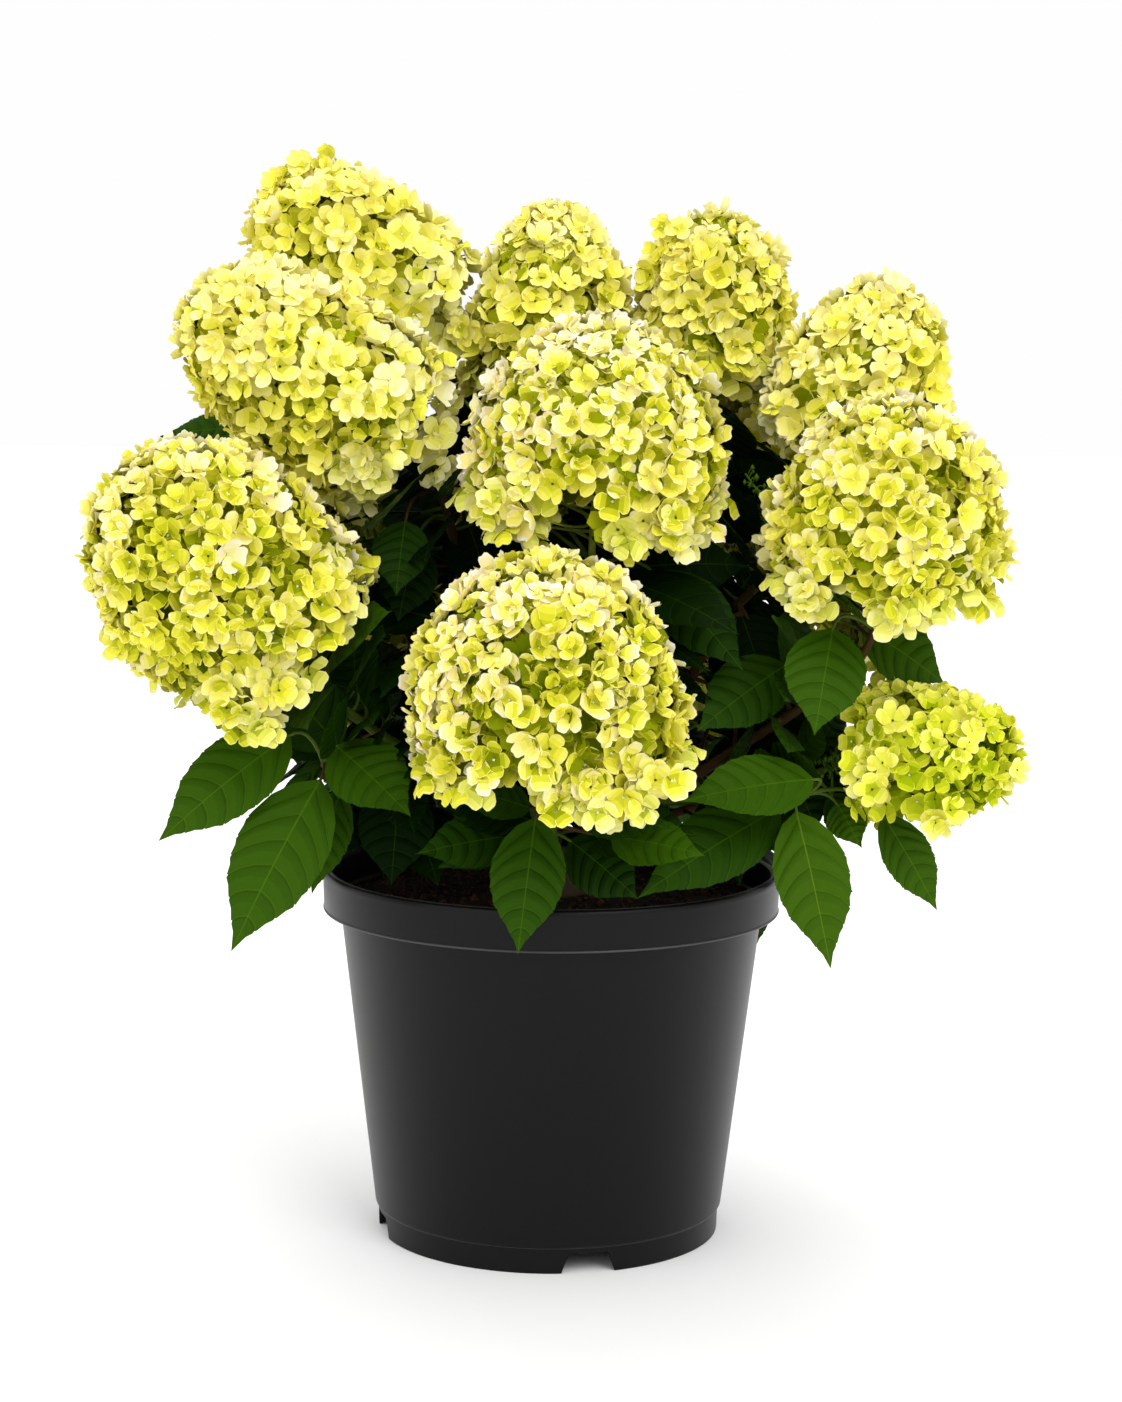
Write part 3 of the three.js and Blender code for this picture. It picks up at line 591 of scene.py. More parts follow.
# Painted light: heads high in the light, whose tints are the brighter, clearer ones of the high ladder.
HEADS_IN_PAINTED_LIGHT = ("back_left", "back_mid", "back_right", "upper_left", "upper_right")
# Heads with a peach blush on some florets of their left side, and the tints that make it.
BLUSHED = Values(
    heads=("front", "centre"), side=-0.3, share=0.4, tints=("floret_8", "floret_peach", "floret_12"),
)


def make_materials():
    surface("pot_plastic", (0.0022, 0.0022, 0.0023), 0.36, 0.02, 0.9, shine=0.155, spread=0.05)
    # Paler, shinier plastic on the rounded edges of the pot's steps: a painted highlight.
    surface("pot_worn", (0.030, 0.030, 0.031), 0.4, 0.03, 0.9, shine=0.4, spread=0.05)
    surface("mix_dark", (0.020, 0.012, 0.008), 0.92, 0.5, 2.5, shine=0.2)
    surface("mix_brown", (0.055, 0.028, 0.014), 0.92, 0.4, 2.0, shine=0.2)
    surface("mix_red", (0.090, 0.040, 0.018), 0.9, 0.4, 2.0, shine=0.2)
    surface("bark_brown", (0.046, 0.029, 0.013), 0.85, shine=0.12, **BARK)
    surface("bark_grey", (0.085, 0.062, 0.038), 0.88, shine=0.15, **BARK)
    surface("twig_green", (0.065, 0.105, 0.010), **TWIG)
    surface("twig_red", (0.058, 0.032, 0.010), **TWIG)
    surface("stalk_lime", (0.230, 0.290, 0.030), 0.6, 0.08, 1.2, shine=0.1)
    surface("eye_pale", (0.780, 0.800, 0.500), 0.5, 0.03, 0.8, shine=0.3)
    # A dark eye is painted shade in the middle of a floret.
    surface("eye_dark", (0.050, 0.070, 0.010), 0.6, 0.03, 0.8, shine=0.3)
    surface("bud_green", (0.060, 0.130, 0.004), 0.6, 0.05, 1.2, shine=0.05)
    surface("floret_peach", (0.920, 0.780, 0.300), **PETAL)
    for family, tints in LADDERS.items():
        for name, colour in tints:
            surface(name, colour, **(LEAF_SKIN if family == "leaf" else PETAL))


def piece(made, slot, *nodes):
    """Sets an object on the plant and hides the solids it stands for; its slot is not used."""
    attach(made, "root")
    if nodes:
        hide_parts(*nodes)


def rounded(corners, steps=4):
    """A polyline with its corners rounded; each corner is a radius, a height and its bend."""
    path = [corners[0][:2]]
    for before, here, after in zip(corners, corners[1:], corners[2:]):
        a, p, b = (np.array(c[:2], float) for c in (before, here, after))
        ends = []
        for other in (a, b):
            room = np.linalg.norm(other - p)
            ends.append(p + (other - p) * min(here[2], room * 0.48) / room)
        turn = Curve(ends[0], p, ends[1])
        path.extend(tuple(turn.at(t)) for t in np.linspace(0, 1, steps))
    path.append(corners[-1][:2])
    return path


def cut(made, cutter):
    """Takes the cutter out of an object and removes it, with the mesh that the cut replaces."""
    knife = made.modifiers.new("cut", "BOOLEAN")
    knife.operation = "DIFFERENCE"
    knife.solver = "EXACT"
    knife.object = cutter
    bpy.context.view_layer.update()
    graph = bpy.context.evaluated_depsgraph_get()
    mesh = bpy.data.meshes.new_from_object(made.evaluated_get(graph))
    made.modifiers.clear()
    used = [made.data, cutter.data]
    made.data = mesh
    bpy.data.objects.remove(cutter)
    for old in used:
        bpy.data.meshes.remove(old)


def make_pot():
    """The container, turned from its section's corners, with painted highlights on its steps' edges."""
    height, rim, wall, lip = POT.height, POT.rim, POT.wall, POT.lip
    rim_foot = height - POT.rim_depth
    skirt, step = POT.skirt, POT.skirt_height
    corners = [
        (0, step - POT.floor, 0),
        (skirt - wall, step - POT.floor, 1),
        (skirt - wall, 0, 0.8),
        (skirt, 0, 0.9),
        (skirt + 0.5, step - 0.6, 0.9),
        (POT.body_foot, step + 0.9, 0.8),
        (POT.body_top, rim_foot, 1.2),
        (rim - 0.9, rim_foot + 0.4, 1.5),
        (rim - 0.2, height - 4.5, 1.2),
        (rim, height - 2.6, 1.6),
        (rim - 0.9, height, 1.7),
        (rim - lip, height, 1.2),
        (rim - lip - 0.9, height - 2.2, 0.9),
        (rim - lip - 1.6, height - 2.6, 0.9),
        (rim - lip - 2.0, rim_foot + lip, 2),
        (POT.body_top - wall, rim_foot - 2, 3),
        (POT.body_foot - wall, step, 4),
        (0, step, 0),
    ]
    heap = Heap()
    turned(heap, rounded(corners), POT.sides, "pot_plastic")
    made = heap.build("pot_shell")
    cut(made, make_notches())
    made.data.set_sharp_from_angle(angle=math.radians(POT.crease))
    piece(made, "pot", "pot")
    edges = Heap()
    bead(edges, rim - 1.2, rim_foot + 0.9, 0.8)
    bead(edges, rim - lip + 0.3, height - 0.4, 0.7)
    bead(edges, skirt + 0.6, step - 0.3, 0.35)
    piece(edges.build("pot_edges"), "pot", "pot")


def bead(heap, reach, height, thick):
    """The rounded edge of a step in the pot's side, paler and shinier as a painted highlight."""
    rings = []
    for k in range(POT.bead_sides + 1):
        bend = -2 * math.pi * k / POT.bead_sides
        r = reach + thick * math.cos(bend)
        rings.append(level_ring(r, height + thick * math.sin(bend), POT.sides))
    heap.add(np.concatenate(rings), grid_faces(len(rings), POT.sides, closed=True), "pot_worn")


def make_notches():
    """The four drainage notches as one cutter: trapeziums with round upper corners."""
    foot, top, height, corner = NOTCH.foot, NOTCH.top, NOTCH.height, NOTCH.corner
    side = [(foot / 2, -NOTCH.below), (foot / 2 - NOTCH.taper, 0)]
    for turn in np.linspace(0, math.pi / 2, 5):
        reach = corner * np.array([math.cos(turn), math.sin(turn)])
        side.append((top / 2 - corner + reach[0] + 0.5, height - corner + reach[1]))
    outline = side + [(-x, z) for x, z in reversed(side)]
    heap = Heap()
    for number in range(NOTCH.count):
        turn = math.radians(NOTCH.first_turn + number * 360 / NOTCH.count)
        way = np.array([math.sin(turn), -math.cos(turn), 0])
        side_way = np.array([math.cos(turn), math.sin(turn), 0])
        ends = [
            [way * reach + side_way * x + UP * z for x, z in outline]
            for reach in (NOTCH.inner, NOTCH.outer)
        ]
        capped(heap, np.array(ends), "pot_plastic")
    return heap.build("notches", smooth=False)


# Crumbs on the mix: their number, their spread, their half lengths and their shape.
CRUMBS = Values(
    count=1700, share=(0.05, 1), inside=3, sizes=(1.0, 3.2), sides=(0.6, 1),
    shape=np.array([1.25, 1, 0.6]), wear=(0.75, 1.2), lift=(-0.6, 1.2),
    tints=["mix_dark", "mix_brown", "mix_brown", "mix_red"],
)
# The top of the mix: its rings and sides, and the height and size of its lumps.
GROUND = Values(rings=34, sides=96, height=1.6, size=9, shoulder=3)


def make_mix():
    """The bark mix: a turned body with a rough top, and crumbs and chips lying on it."""
    step, rim_foot = POT.skirt_height, POT.height - POT.rim_depth

    def wall_at(z):
        t = (z - step) / (rim_foot - 2 - step)
        return POT.body_foot + (POT.body_top - POT.body_foot) * t - POT.wall - AIR

    shoulder = rim_foot - GROUND.shoulder
    edge = wall_at(shoulder) + 3

    def top_at(r):
        return SOIL.edge + (SOIL.top - SOIL.edge) * min(1, (edge - r) / (edge - SOIL.flat))

    heap = Heap()
    path = [(0, step + AIR), (wall_at(step), step + AIR)]
    path += [(wall_at(shoulder), shoulder), (edge, SOIL.edge - 1)]
    path += [(r, top_at(r)) for r in np.linspace(edge - 4, 3, GROUND.rings)]
    path.append((0, SOIL.top))
    turned(heap, path, GROUND.sides, "mix_dark")
    for p in heap.points[0]:
        if p[2] >= SOIL.edge and np.hypot(p[0], p[1]) < edge - 2:
            p[2] += GROUND.height * lumps(p, GROUND.size)
    ball, faces = chip()
    draw = np.random.default_rng(SEEDS.mix)
    for _ in range(CRUMBS.count):
        r = math.sqrt(draw.uniform(*CRUMBS.share)) * (edge - CRUMBS.inside)
        turn = draw.uniform(0, 2 * math.pi)
        size = draw.uniform(*CRUMBS.sizes) * draw.uniform(*CRUMBS.sides, 3) * CRUMBS.shape
        spin = Vector(draw.normal(size=3)).normalized().to_track_quat("Z", "Y").to_matrix()
        crumb = (ball * draw.uniform(*CRUMBS.wear, (len(ball), 1)) * size) @ np.array(spin).T
        height = top_at(r) + draw.uniform(*CRUMBS.lift)
        place = np.array([r * math.cos(turn), r * math.sin(turn), height])
        heap.add(crumb + place, faces, str(draw.choice(CRUMBS.tints)))
    piece(heap.build("bark_mix", smooth=False), "potting_mix", "potting_mix")


# The crown's side as shares of its foot's radius and heights, and the lumps of its old wood.
CROWN_SIDE = ((0.99, 0.1), (1, 2), (0.93, 8), (0.84, 13), (0.7, 18), (0.5, 22.5), (0.3, 25), (0.12, 26))
KNUCKLE = Values(relief=0.10, size=11, depth=3, stretch=0.4, core=4, above=1)
# Cracks along a cane's bark and the swellings at its nodes.
CRACKS = Values(across=2.3, along=0.28, depth=3, relief=0.13)
NODES = Values(height=0.10, every=0.42, power=8)


def bark(points, radii, sides, seed):
    """Rings round a limb whose skin is cracked lengthwise, with a swelling at each node."""
    rings = rings_along(points, radii, sides)
    for i, ring in enumerate(rings):
        middle = points[i]
        for k, p in enumerate(ring):
            place = (k * CRACKS.across + seed, i * CRACKS.along, seed)
            ridge = lumps(place, 1.0, CRACKS.depth)
            swell = NODES.height * max(0, math.cos(i * NODES.every)) ** NODES.power
            ring[k] = middle + (p - middle) * (1 + CRACKS.relief * ridge + swell)
    return rings


def make_wood(cane_curves):
    """The knuckle of old wood and each cane, with the relief of their bark."""
    heap = Heap()
    base = SOIL.top + AIR
    path = [(0, 0), *((CROWN.foot * share, z) for share, z in CROWN_SIDE), (0, CROWN.height)]
    turned(heap, [(r, z + base) for r, z in path], CROWN.sides, "bark_grey")
    for p in heap.points[0]:
        if math.hypot(p[0], p[1]) > KNUCKLE.core and p[2] > base + KNUCKLE.above:
            place = (p[0], p[1], p[2] * KNUCKLE.stretch)
            p[:2] *= 1 + KNUCKLE.relief * lumps(place, KNUCKLE.size, KNUCKLE.depth)
    piece(heap.build("crown_bark"), "wood", "woody_crown")
    for number, (name, curve) in enumerate(cane_curves.items()):
        length = np.linalg.norm(curve.points[2] - curve.points[0])
        points = curve.along(max(12, int(length / CANE.ring_every)))
        radii = np.linspace(CANE.foot, CANE.tip, len(points))
        heap = Heap()
        capped(heap, bark(points, radii, CANE.sides, 10 * number), "bark_brown")
        piece(heap.build("cane_bark_" + name), "wood", "cane_" + name)


# The leaf blade's outline, as half widths at shares of its midrib, and its columns of points.
BLADE_SHARES = (0, 0.06, 0.15, 0.28, 0.42, 0.55, 0.68, 0.8, 0.9, 0.96, 1)
BLADE_HALVES = (0, 0.40, 0.70, 0.93, 1, 0.94, 0.77, 0.43, 0.16, 0.055, 0)
BLADE_COLUMNS = np.array([-1, -0.72, -0.38, -0.03, 0.03, 0.38, 0.72, 1])
MIDRIB_COLUMN = 3
# The side veins: their number, where they start and span, and the half width of each one's strip.
VEIN = Values(pairs=6, first=0.05, span=0.76, power=0.94, half=0.004, last=0.95)
# The strips after a vein: their shares of the way to the next one, their relief and their zone;
# the low strip is a step darker, painted shade beside the vein.
STRIPS = ((0.13, 0.2, "low"), (0.50, 0.8, "blade"))
# How the side veins sweep forward, and how a blade folds, waves and twists.
SWEEP = Values(near=0.14, far=0.17, power=1.1)
BLADE = Values(
    fold=(0.10, 0.26), wave=(0.4, 1.3), waves=9, twist=0.12, half=0.47, tooth=0.75, tooth_sweep=0.006,
    relief=1.1, rib=0.5, rib_height=0.2,
)
RIB_WIDTH = 44


def blade_rows():
    """Shares of the midrib, the relief of each row, and the zone of the strip that follows it."""
    rows = [(0.0, 0.0, "blade")]
    count = VEIN.pairs
    veins = [VEIN.first + VEIN.span * (k / (count - 1)) ** VEIN.power for k in range(count)]
    for s, after in zip(veins, [*veins[1:], VEIN.last]):
        rows.append((s - VEIN.half, -1.0, "vein"))
        rows.append((s + VEIN.half, -1.0, "shade"))
        rows.extend((s + (after - s) * share, relief, zone) for share, relief, zone in STRIPS)
    rows.append((0.955, 0.0, "blade"))
    rows.append((1.0, 0.0, "blade"))
    return rows


BLADE_ROWS = blade_rows()
BLADE_FACES = grid_faces(len(BLADE_ROWS), len(BLADE_COLUMNS))
BLADE_ZONES = [
    "midrib" if column == MIDRIB_COLUMN else zone
    for _, _, zone in BLADE_ROWS[:-1]
    for column in range(len(BLADE_COLUMNS) - 1)
]
# How many tints each zone lies from the blade's own: the shade and low strips after each vein
# are darker as painted shade, the veins and midrib paler in their own colour.
ZONE_STEPS = {"blade": 0, "low": -1, "vein": 2, "shade": -2, "midrib": 4}


def blade(base, tip, width, face, draw):
    """The points of one leaf blade, row by row, with raised ribs and a toothed edge."""
    base, tip = np.array(base, float), np.array(tip, float)
    along = tip - base
    length = np.linalg.norm(along)
    side = unit(np.cross(along, face))
    normal = unit(np.cross(side, along))
    bow = (base + tip) / 2 + normal * length * LEAF.arch
    midrib = Curve(base, bow, tip)
    fold = draw.uniform(*BLADE.fold)
    wave, phase = draw.uniform(*BLADE.wave), draw.uniform(0, 2 * math.pi)
    twist = draw.normal(0, BLADE.twist)
    points = []
    for number, (s, relief, _) in enumerate(BLADE_ROWS):
        for a in BLADE_COLUMNS:
            reach = abs(a)
            toothed = reach == 1 and number % 2
            t = s + (SWEEP.near * reach + SWEEP.far * reach**2) * (1 - s) ** SWEEP.power
            if reach == 1:
                t = min(1, t + (BLADE.tooth_sweep if toothed else 0))
            up = unit(np.cross(side, midrib.way(t)))
            half = width * BLADE.half * np.interp(t, BLADE_SHARES, BLADE_HALVES)
            if reach < 0.1:
                across = math.copysign(BLADE.rib * (1 - 0.7 * t) * width / RIB_WIDTH, a)
                height = BLADE.rib_height
            else:
                tooth = BLADE.tooth if toothed else 0
                share = 1 if number == 0 else reach
                across = math.copysign(share * half + tooth * min(1, half / 6), a)
                ridge = relief * BLADE.relief * math.sin(math.pi * reach**0.8)
                height = ridge * min(1, half / 12)
                height += half * fold * (reach - 0.75 * reach**2)
                height += wave * reach**2 * math.sin(BLADE.waves * t + phase + a)
            turn = twist * t
            point = midrib.at(t) + side * across * math.cos(turn)
            points.append(point + up * (height + across * math.sin(turn)))
    return np.array(points)


def outward(p):
    flat = np.array([p[0], p[1], 0.0])
    return unit(flat) * 0.8 + UP * 0.7


def leaf_nodes(curve, pairs, seed):
    """The leaves that a shoot bears by the source's rule, each with its swung copies."""
    draw = seeded(seed)
    first_turn = draw() * math.pi
    leaves = []
    for node in range(pairs):
        t = LEAF.first_node + LEAF.node_span * (node + 0.5) / pairs
        stem, tangent = curve.at(t), curve.way(t)
        u = unit(ALONG_X - tangent * tangent[0])
        v = np.cross(tangent, u)
        for half in (0, math.pi):
            full_length = LEAF.length * (LEAF.shortest + LEAF.length_range * draw())
            tries = []
            for swing, share in LEAF_TRIES:
                turn = first_turn + node * math.pi / 2 + half + swing
                out = u * math.cos(turn) + v * math.sin(turn)
                way = unit(out + tangent * LEAF.rise)
                length = full_length * share
                base = stem + way * LEAF.petiole
                tip = base + way * length - UP * length * LEAF.droop
                tries.append((base, tip, length * LEAF.width_share, outward(base)))
            leaves.append(tries)
    return leaves


def nearest_on(curve, point):
    shares = np.linspace(0.15, 0.98, 41)
    return curve.at(min(shares, key=lambda t: np.linalg.norm(curve.at(t) - point)))


PETIOLE = Values(foot=1.45, tip=0.85, rings=7, sides=6, red=0.45, bend=0.5, in_blade=2)
# A leaf's tint by its distance from the middle, darker inside as painted shade: where it starts,
# its step, spread and last number.
LEAF_TINT = Values(inner=72, step=22, spread=0.8, last=12)
# Painted shade: how much darker the leaves at the edge of the crown and the finer growth are,
# for the shade they stand in.
SHADE = Values(edge=2, finer=1)


class Foliage:
    """Every leaf on the plant, with the room that each one takes."""

    def __init__(self):
        self.blades = Heap()
        self.stalks = Heap()
        self.taken = np.zeros((0, 3))
        self.draw = np.random.default_rng(SEEDS.leaves)

    def clear(self, base, tip, width, face, apart):
        """Whether a leaf stays inside, out of the flowers, the pot and the leaves that are there."""
        room = BOWL.reach + BOWL.opening * (tip[2] - BOWL.foot)
        if tip[2] < BOWL.foot or math.hypot(tip[0], tip[1]) > min(room, BOWL.widest):
            return False
        samples = self.samples(base, tip, width, face)
        for p in samples[1:]:
            over = p[2] < POT.height + ROOM.over_pot
            if over and math.hypot(p[0], p[1]) < POT.rim + ROOM.round_pot:
                return False
            if any(depth_in(bloom, p) > ROOM.in_flower for bloom in BLOOMS.values()):
                return False
        low, high = (np.array(corner) / MM for corner in cad_box)
        if np.any(samples < low - ROOM.past_box) or np.any(samples > high + ROOM.past_box):
            return False
        gaps = np.linalg.norm(samples[1:, None] - self.taken[None], axis=2)
        return gaps.min() > apart

    @staticmethod
    def samples(base, tip, width, face):
        """Points down a blade's midrib and at its sides."""
        base, tip = np.array(base, float), np.array(tip, float)
        side = unit(np.cross(tip - base, face)) * width * 0.38
        middle = [base + (tip - base) * t for t in (0, 0.25, 0.5, 0.8, 1)]
        return np.array(middle + [middle[2] + side, middle[2] - side])

    def grow(self, curve, base, tip, width, face, shade=0):
        """Adds a leaf: its blade in its tints, and its stalk from the nearest place on the shoot."""
        self.taken = np.concatenate([self.taken, self.samples(base, tip, width, face)])
        number = self.pick(base, shade)
        names = {zone: LADDERS["leaf"][max(0, number + step)][0] for zone, step in ZONE_STEPS.items()}
        points = blade(base, tip, width, face, self.draw)
        self.blades.add(points, BLADE_FACES, [names[zone] for zone in BLADE_ZONES])
        root = nearest_on(curve, base)
        base = np.array(base, float)
        ahead = unit(np.array(tip, float) - base)
        reach = np.linalg.norm(base - root)
        bend = base - ahead * reach * PETIOLE.bend
        path = Curve(root, bend, base + ahead * PETIOLE.in_blade)
        tint = "twig_red" if self.draw.random() < PETIOLE.red else "twig_green"
        limb(self.stalks, path, PETIOLE, tint)

    def pick(self, base, shade):
        """A tint's number: paler out where the light falls, darker inside the plant, as painted light
        and shade.
        """
        out = (math.hypot(base[0], base[1]) - LEAF_TINT.inner) / LEAF_TINT.step
        out += self.draw.normal(0, LEAF_TINT.spread)
        return int(np.clip(2 * (out - shade), 0, LEAF_TINT.last))


def read_shoots():
    """The vertices of each shoot's solid, in millimetres."""
    found = {}
    for name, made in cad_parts.items():
        if name.startswith("shoot_"):
            co = np.zeros(len(made.data.vertices) * 3)
            made.data.vertices.foreach_get("co", co)
            found[name] = co.reshape(-1, 3) / MM
    return found


CAD_POINTS = read_shoots()


def grown_tip(node, tip):
    """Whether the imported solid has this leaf, by its tip, and the photograph room for it."""
    near = np.linalg.norm(CAD_POINTS[node] - tip, axis=1).min()
    shown = all(np.linalg.norm(tip - spot) > TIP_MATCH.not_shown for spot in NOT_SHOWN)
    return near < TIP_MATCH.solid and shown


Shoot = namedtuple("Shoot", "curve pairs seed")


def make_shoots(cane_curves):
    """Every shoot's curve, in the source's order."""
    shoots = {}
    ranks = {}

    def add(name, cane, end, lean, pairs, seed):
        rank = ranks.get(cane, -1) + 1
        ranks[cane] = rank
        curve = shoot_curve(cane_curves[cane], rank, end, lean)
        shoots[name] = Shoot(curve, pairs, seed)

    for number, (name, bloom) in enumerate(BLOOMS.items()):
        way = stalk_way(bloom)
        foot = bloom_frame(bloom)[0]
        end = foot - way * (BLOOM.stalk + BLOOM.gap)
        add(name, bloom.cane, end, way, bloom.pairs, SEEDS.shoots + number)
    for number, (name, (end, cane, pairs)) in enumerate(SPRIGS.items()):
        end = np.array(end, float)
        lean = unit((end[0], end[1], SPRIG_RISE))
        add(name, cane, end, lean, pairs, SEEDS.sprigs + number)
    return shoots


def add_stem(heap, curve, tint):
    """A shoot's stem, swollen at its nodes."""
    count, nodes = SHOOT.rings, SHOOT.nodes
    radii = np.linspace(SHOOT.foot, SHOOT.tip, count)
    places = [LEAF.first_node + LEAF.node_span * (k + 0.5) / nodes for k in range(nodes)]
    for i, t in enumerate(np.linspace(0, 1, count)):
        off = min(abs(t - place) for place in places)
        radii[i] += SHOOT.swelling * max(0, 1 - off / SHOOT.swelling_reach)
    tube(heap, curve.along(count), radii, SHOOT.sides, tint)


def make_foliage(shoots):
    """Stems, then the shown leaves, the leaves of the solids, and finer growth between them."""
    foliage = Foliage()
    for number, shoot in enumerate(shoots.values()):
        add_stem(foliage.stalks, shoot.curve, "twig_red" if number % 3 else "twig_green")
    for table, shade in ((SHOWN_LEAVES, 0), (EDGE_LEAVES, SHADE.edge)):
        for name, leaves in table.items():
            for base, tip, width in leaves:
                foliage.grow(shoots[name].curve, base, tip, width, SHOWN_FACE, shade)
    for name, shoot in shoots.items():
        for tries in leaf_nodes(shoot.curve, shoot.pairs, shoot.seed):
            for base, tip, width, face in tries:
                if grown_tip("shoot_" + name, tip):
                    foliage.grow(shoot.curve, base, tip, width, face)
                    break
    for extra, (pairs, apart) in enumerate(FINER_PASSES):
        first_seed = SEEDS.finer + SEEDS.finer_step * extra
        for shoot in shoots.values():
            for tries in leaf_nodes(shoot.curve, pairs, first_seed + shoot.seed):
                for base, tip, width, face in tries:
                    if foliage.clear(base, tip, width, face, apart):
                        foliage.grow(shoot.curve, base, tip, width, face, SHADE.finer)
                        break
    names = ["shoot_" + name for name in shoots]
    piece(foliage.blades.build("leaves"), "foliage", *names)
    piece(foliage.stalks.build("twigs"), "foliage", *names)


# A sepal's rows from its claw to its tip, their half widths and how far each row's ends fall back.
SEPAL_ROWS = np.array([0, 0.30, 0.60, 0.88, 1.0])
SEPAL_WIDTHS = np.array([0.16, 0.76, 1.0, 0.77, 0.46])
SEPAL_ROUND = np.array([0, 0, 0.0, 0.02, 0.05])
SEPAL_COLUMNS = np.array([-1, -0.88, 0, 0.88, 1])
SEPAL_FACES = grid_faces(len(SEPAL_ROWS), len(SEPAL_COLUMNS))
# Zones of a floret: its claws, the inner and outer blades, their rims and the eye.
RIM_ZONE, EYE_ZONE = 3, 4
SEPAL_ZONES = np.array(
    [RIM_ZONE if row and column in (0, 3) else row for row in range(4) for column in range(4)]
)
# The eye of a floret: its points, its faces, its radius and its height. Eyes that are not pale
# are dark, painted shade in the floret's middle.
EYE_POINTS = np.array([(1, 0, 0.4), (0, 1, 0.4), (-1, 0, 0.4), (0, -1, 0.4), (0, 0, 1.5)])
EYE_FACES = np.array([(0, 1, 4, -1), (1, 2, 4, -1), (2, 3, 4, -1), (3, 0, 4, -1)])
EYE = Values(radius=0.085, height=0.03, pale=0.6)
# The sepals' sizes as shares of a floret's radius, and the ranges of their cup, curl and flare.
SEPAL = Values(
    lengths=(0.86, 1.06), widths=(0.84, 1.1), curl=(0.3, 0.75), flare=(-0.5, 0.8), four=1.04,
    five=0.88, cup_spread=0.08, least_cup=0.02, roll=(0.06, 0.06), turn_spread=0.09, over=0.05,
    under=-0.01, claw=0.07, flare_from=0.6,
)
# How far each kind of floret cups, and how many sepals each shape of a kind has.
CUPS = {"closed": 0.9, "cupped": 0.56, "open": 0.30, "flat": 0.12}
SEPAL_COUNTS = (4, 4, 4, 4, 5, 4)
KINDS = ("flat", "open", "cupped", "closed")
KIND_SHARES = {"skirt": (0.22, 0.45, 0.29, 0.04), "crown": (0.12, 0.40, 0.38, 0.10)}


def sepal(length, width, cup, curl, flare, roll, turn, lift):
    """A sepal as a grid of points that leaves the floret's middle along its turn."""
    v = SEPAL_ROWS[:, None]
    u = SEPAL_COLUMNS[None, :]
    half = width / 2 * SEPAL_WIDTHS[:, None]
    x = length * (SEPAL.claw + (1 - SEPAL.claw) * v - SEPAL_ROUND[:, None] * u**2)
    y = half * u
    z = length * cup * v**1.4 + half * curl * u**2 * v + y * roll
    z = z - length * flare * np.clip(v - SEPAL.flare_from, 0, 1) ** 1.5 + lift
    c, s = math.cos(turn), math.sin(turn)
    return np.stack([x * c - y * s, x * s + y * c, z + 0 * u], -1).reshape(-1, 3)


def floret_shape(draw, cup, sepals):
    """One floret of unit radius: points, faces and the zone of each face."""
    heap, zones = Heap(), []
    for k in range(sepals):
        turn = 2 * math.pi * k / sepals + draw.normal(0, SEPAL.turn_spread)
        width = (SEPAL.four if sepals == 4 else SEPAL.five) * draw.uniform(*SEPAL.widths)
        length = draw.uniform(*SEPAL.lengths)
        own_cup = max(SEPAL.least_cup, cup + draw.normal(0, SEPAL.cup_spread))
        curl, flare = draw.uniform(*SEPAL.curl), draw.uniform(*SEPAL.flare)
        roll = draw.normal(*SEPAL.roll)
        lift = SEPAL.over if k % 2 else SEPAL.under
        heap.add(sepal(length, width, own_cup, curl, flare, roll, turn, lift), SEPAL_FACES, "sepal")
        zones.append(SEPAL_ZONES)
    heap.add(EYE_POINTS * EYE.radius + UP * EYE.height, EYE_FACES, "eye")
    zones.append(np.full(len(EYE_FACES), EYE_ZONE))
    return np.concatenate(heap.points), np.concatenate(heap.faces), np.concatenate(zones)


def floret_shapes():
    draw = np.random.default_rng(SEEDS.florets)
    return {kind: [floret_shape(draw, cup, n) for n in SEPAL_COUNTS] for kind, cup in CUPS.items()}


def coarse_floret():
    """A floret of few faces for the inner layer, with four sepals of two faces."""
    points, faces = [], []
    for k in range(4):
        turn = k * math.pi / 2
        way = np.array([math.cos(turn), math.sin(turn), 0])
        across = np.array([-way[1], way[0], 0])
        faces.extend(grid_faces(3, 2) + len(points))
        for row, half in ((0.05, 0.12), (0.55, 0.5), (1.0, 0.3)):
            for u in (-1, 1):
                points.append(way * row + across * half * u + UP * 0.3 * row**1.5)
    return np.array(points), np.array(faces)


def bloom_path(bloom):
    """Points down the bloom's outline from its tip, over its rim and in along its underside."""
    hollow = HEAD.hollow * unit(bloom.lean)[2] ** 2
    points = []
    for step in np.linspace(0, 1, HEAD.down + 1):
        share = 1 - (1 - HEAD.skirt) * step**1.4
        r = bloom.radius * bloom_profile(share, bloom.blunt, HEAD.pinch)
        points.append((r, bloom.long * share))
    rim, low = points[-1]
    for inward in np.linspace(0, 0.9, HEAD.under + 1)[1:]:
        points.append((rim * (1 - inward), low + bloom.long * hollow * inward))
    return np.array(points)


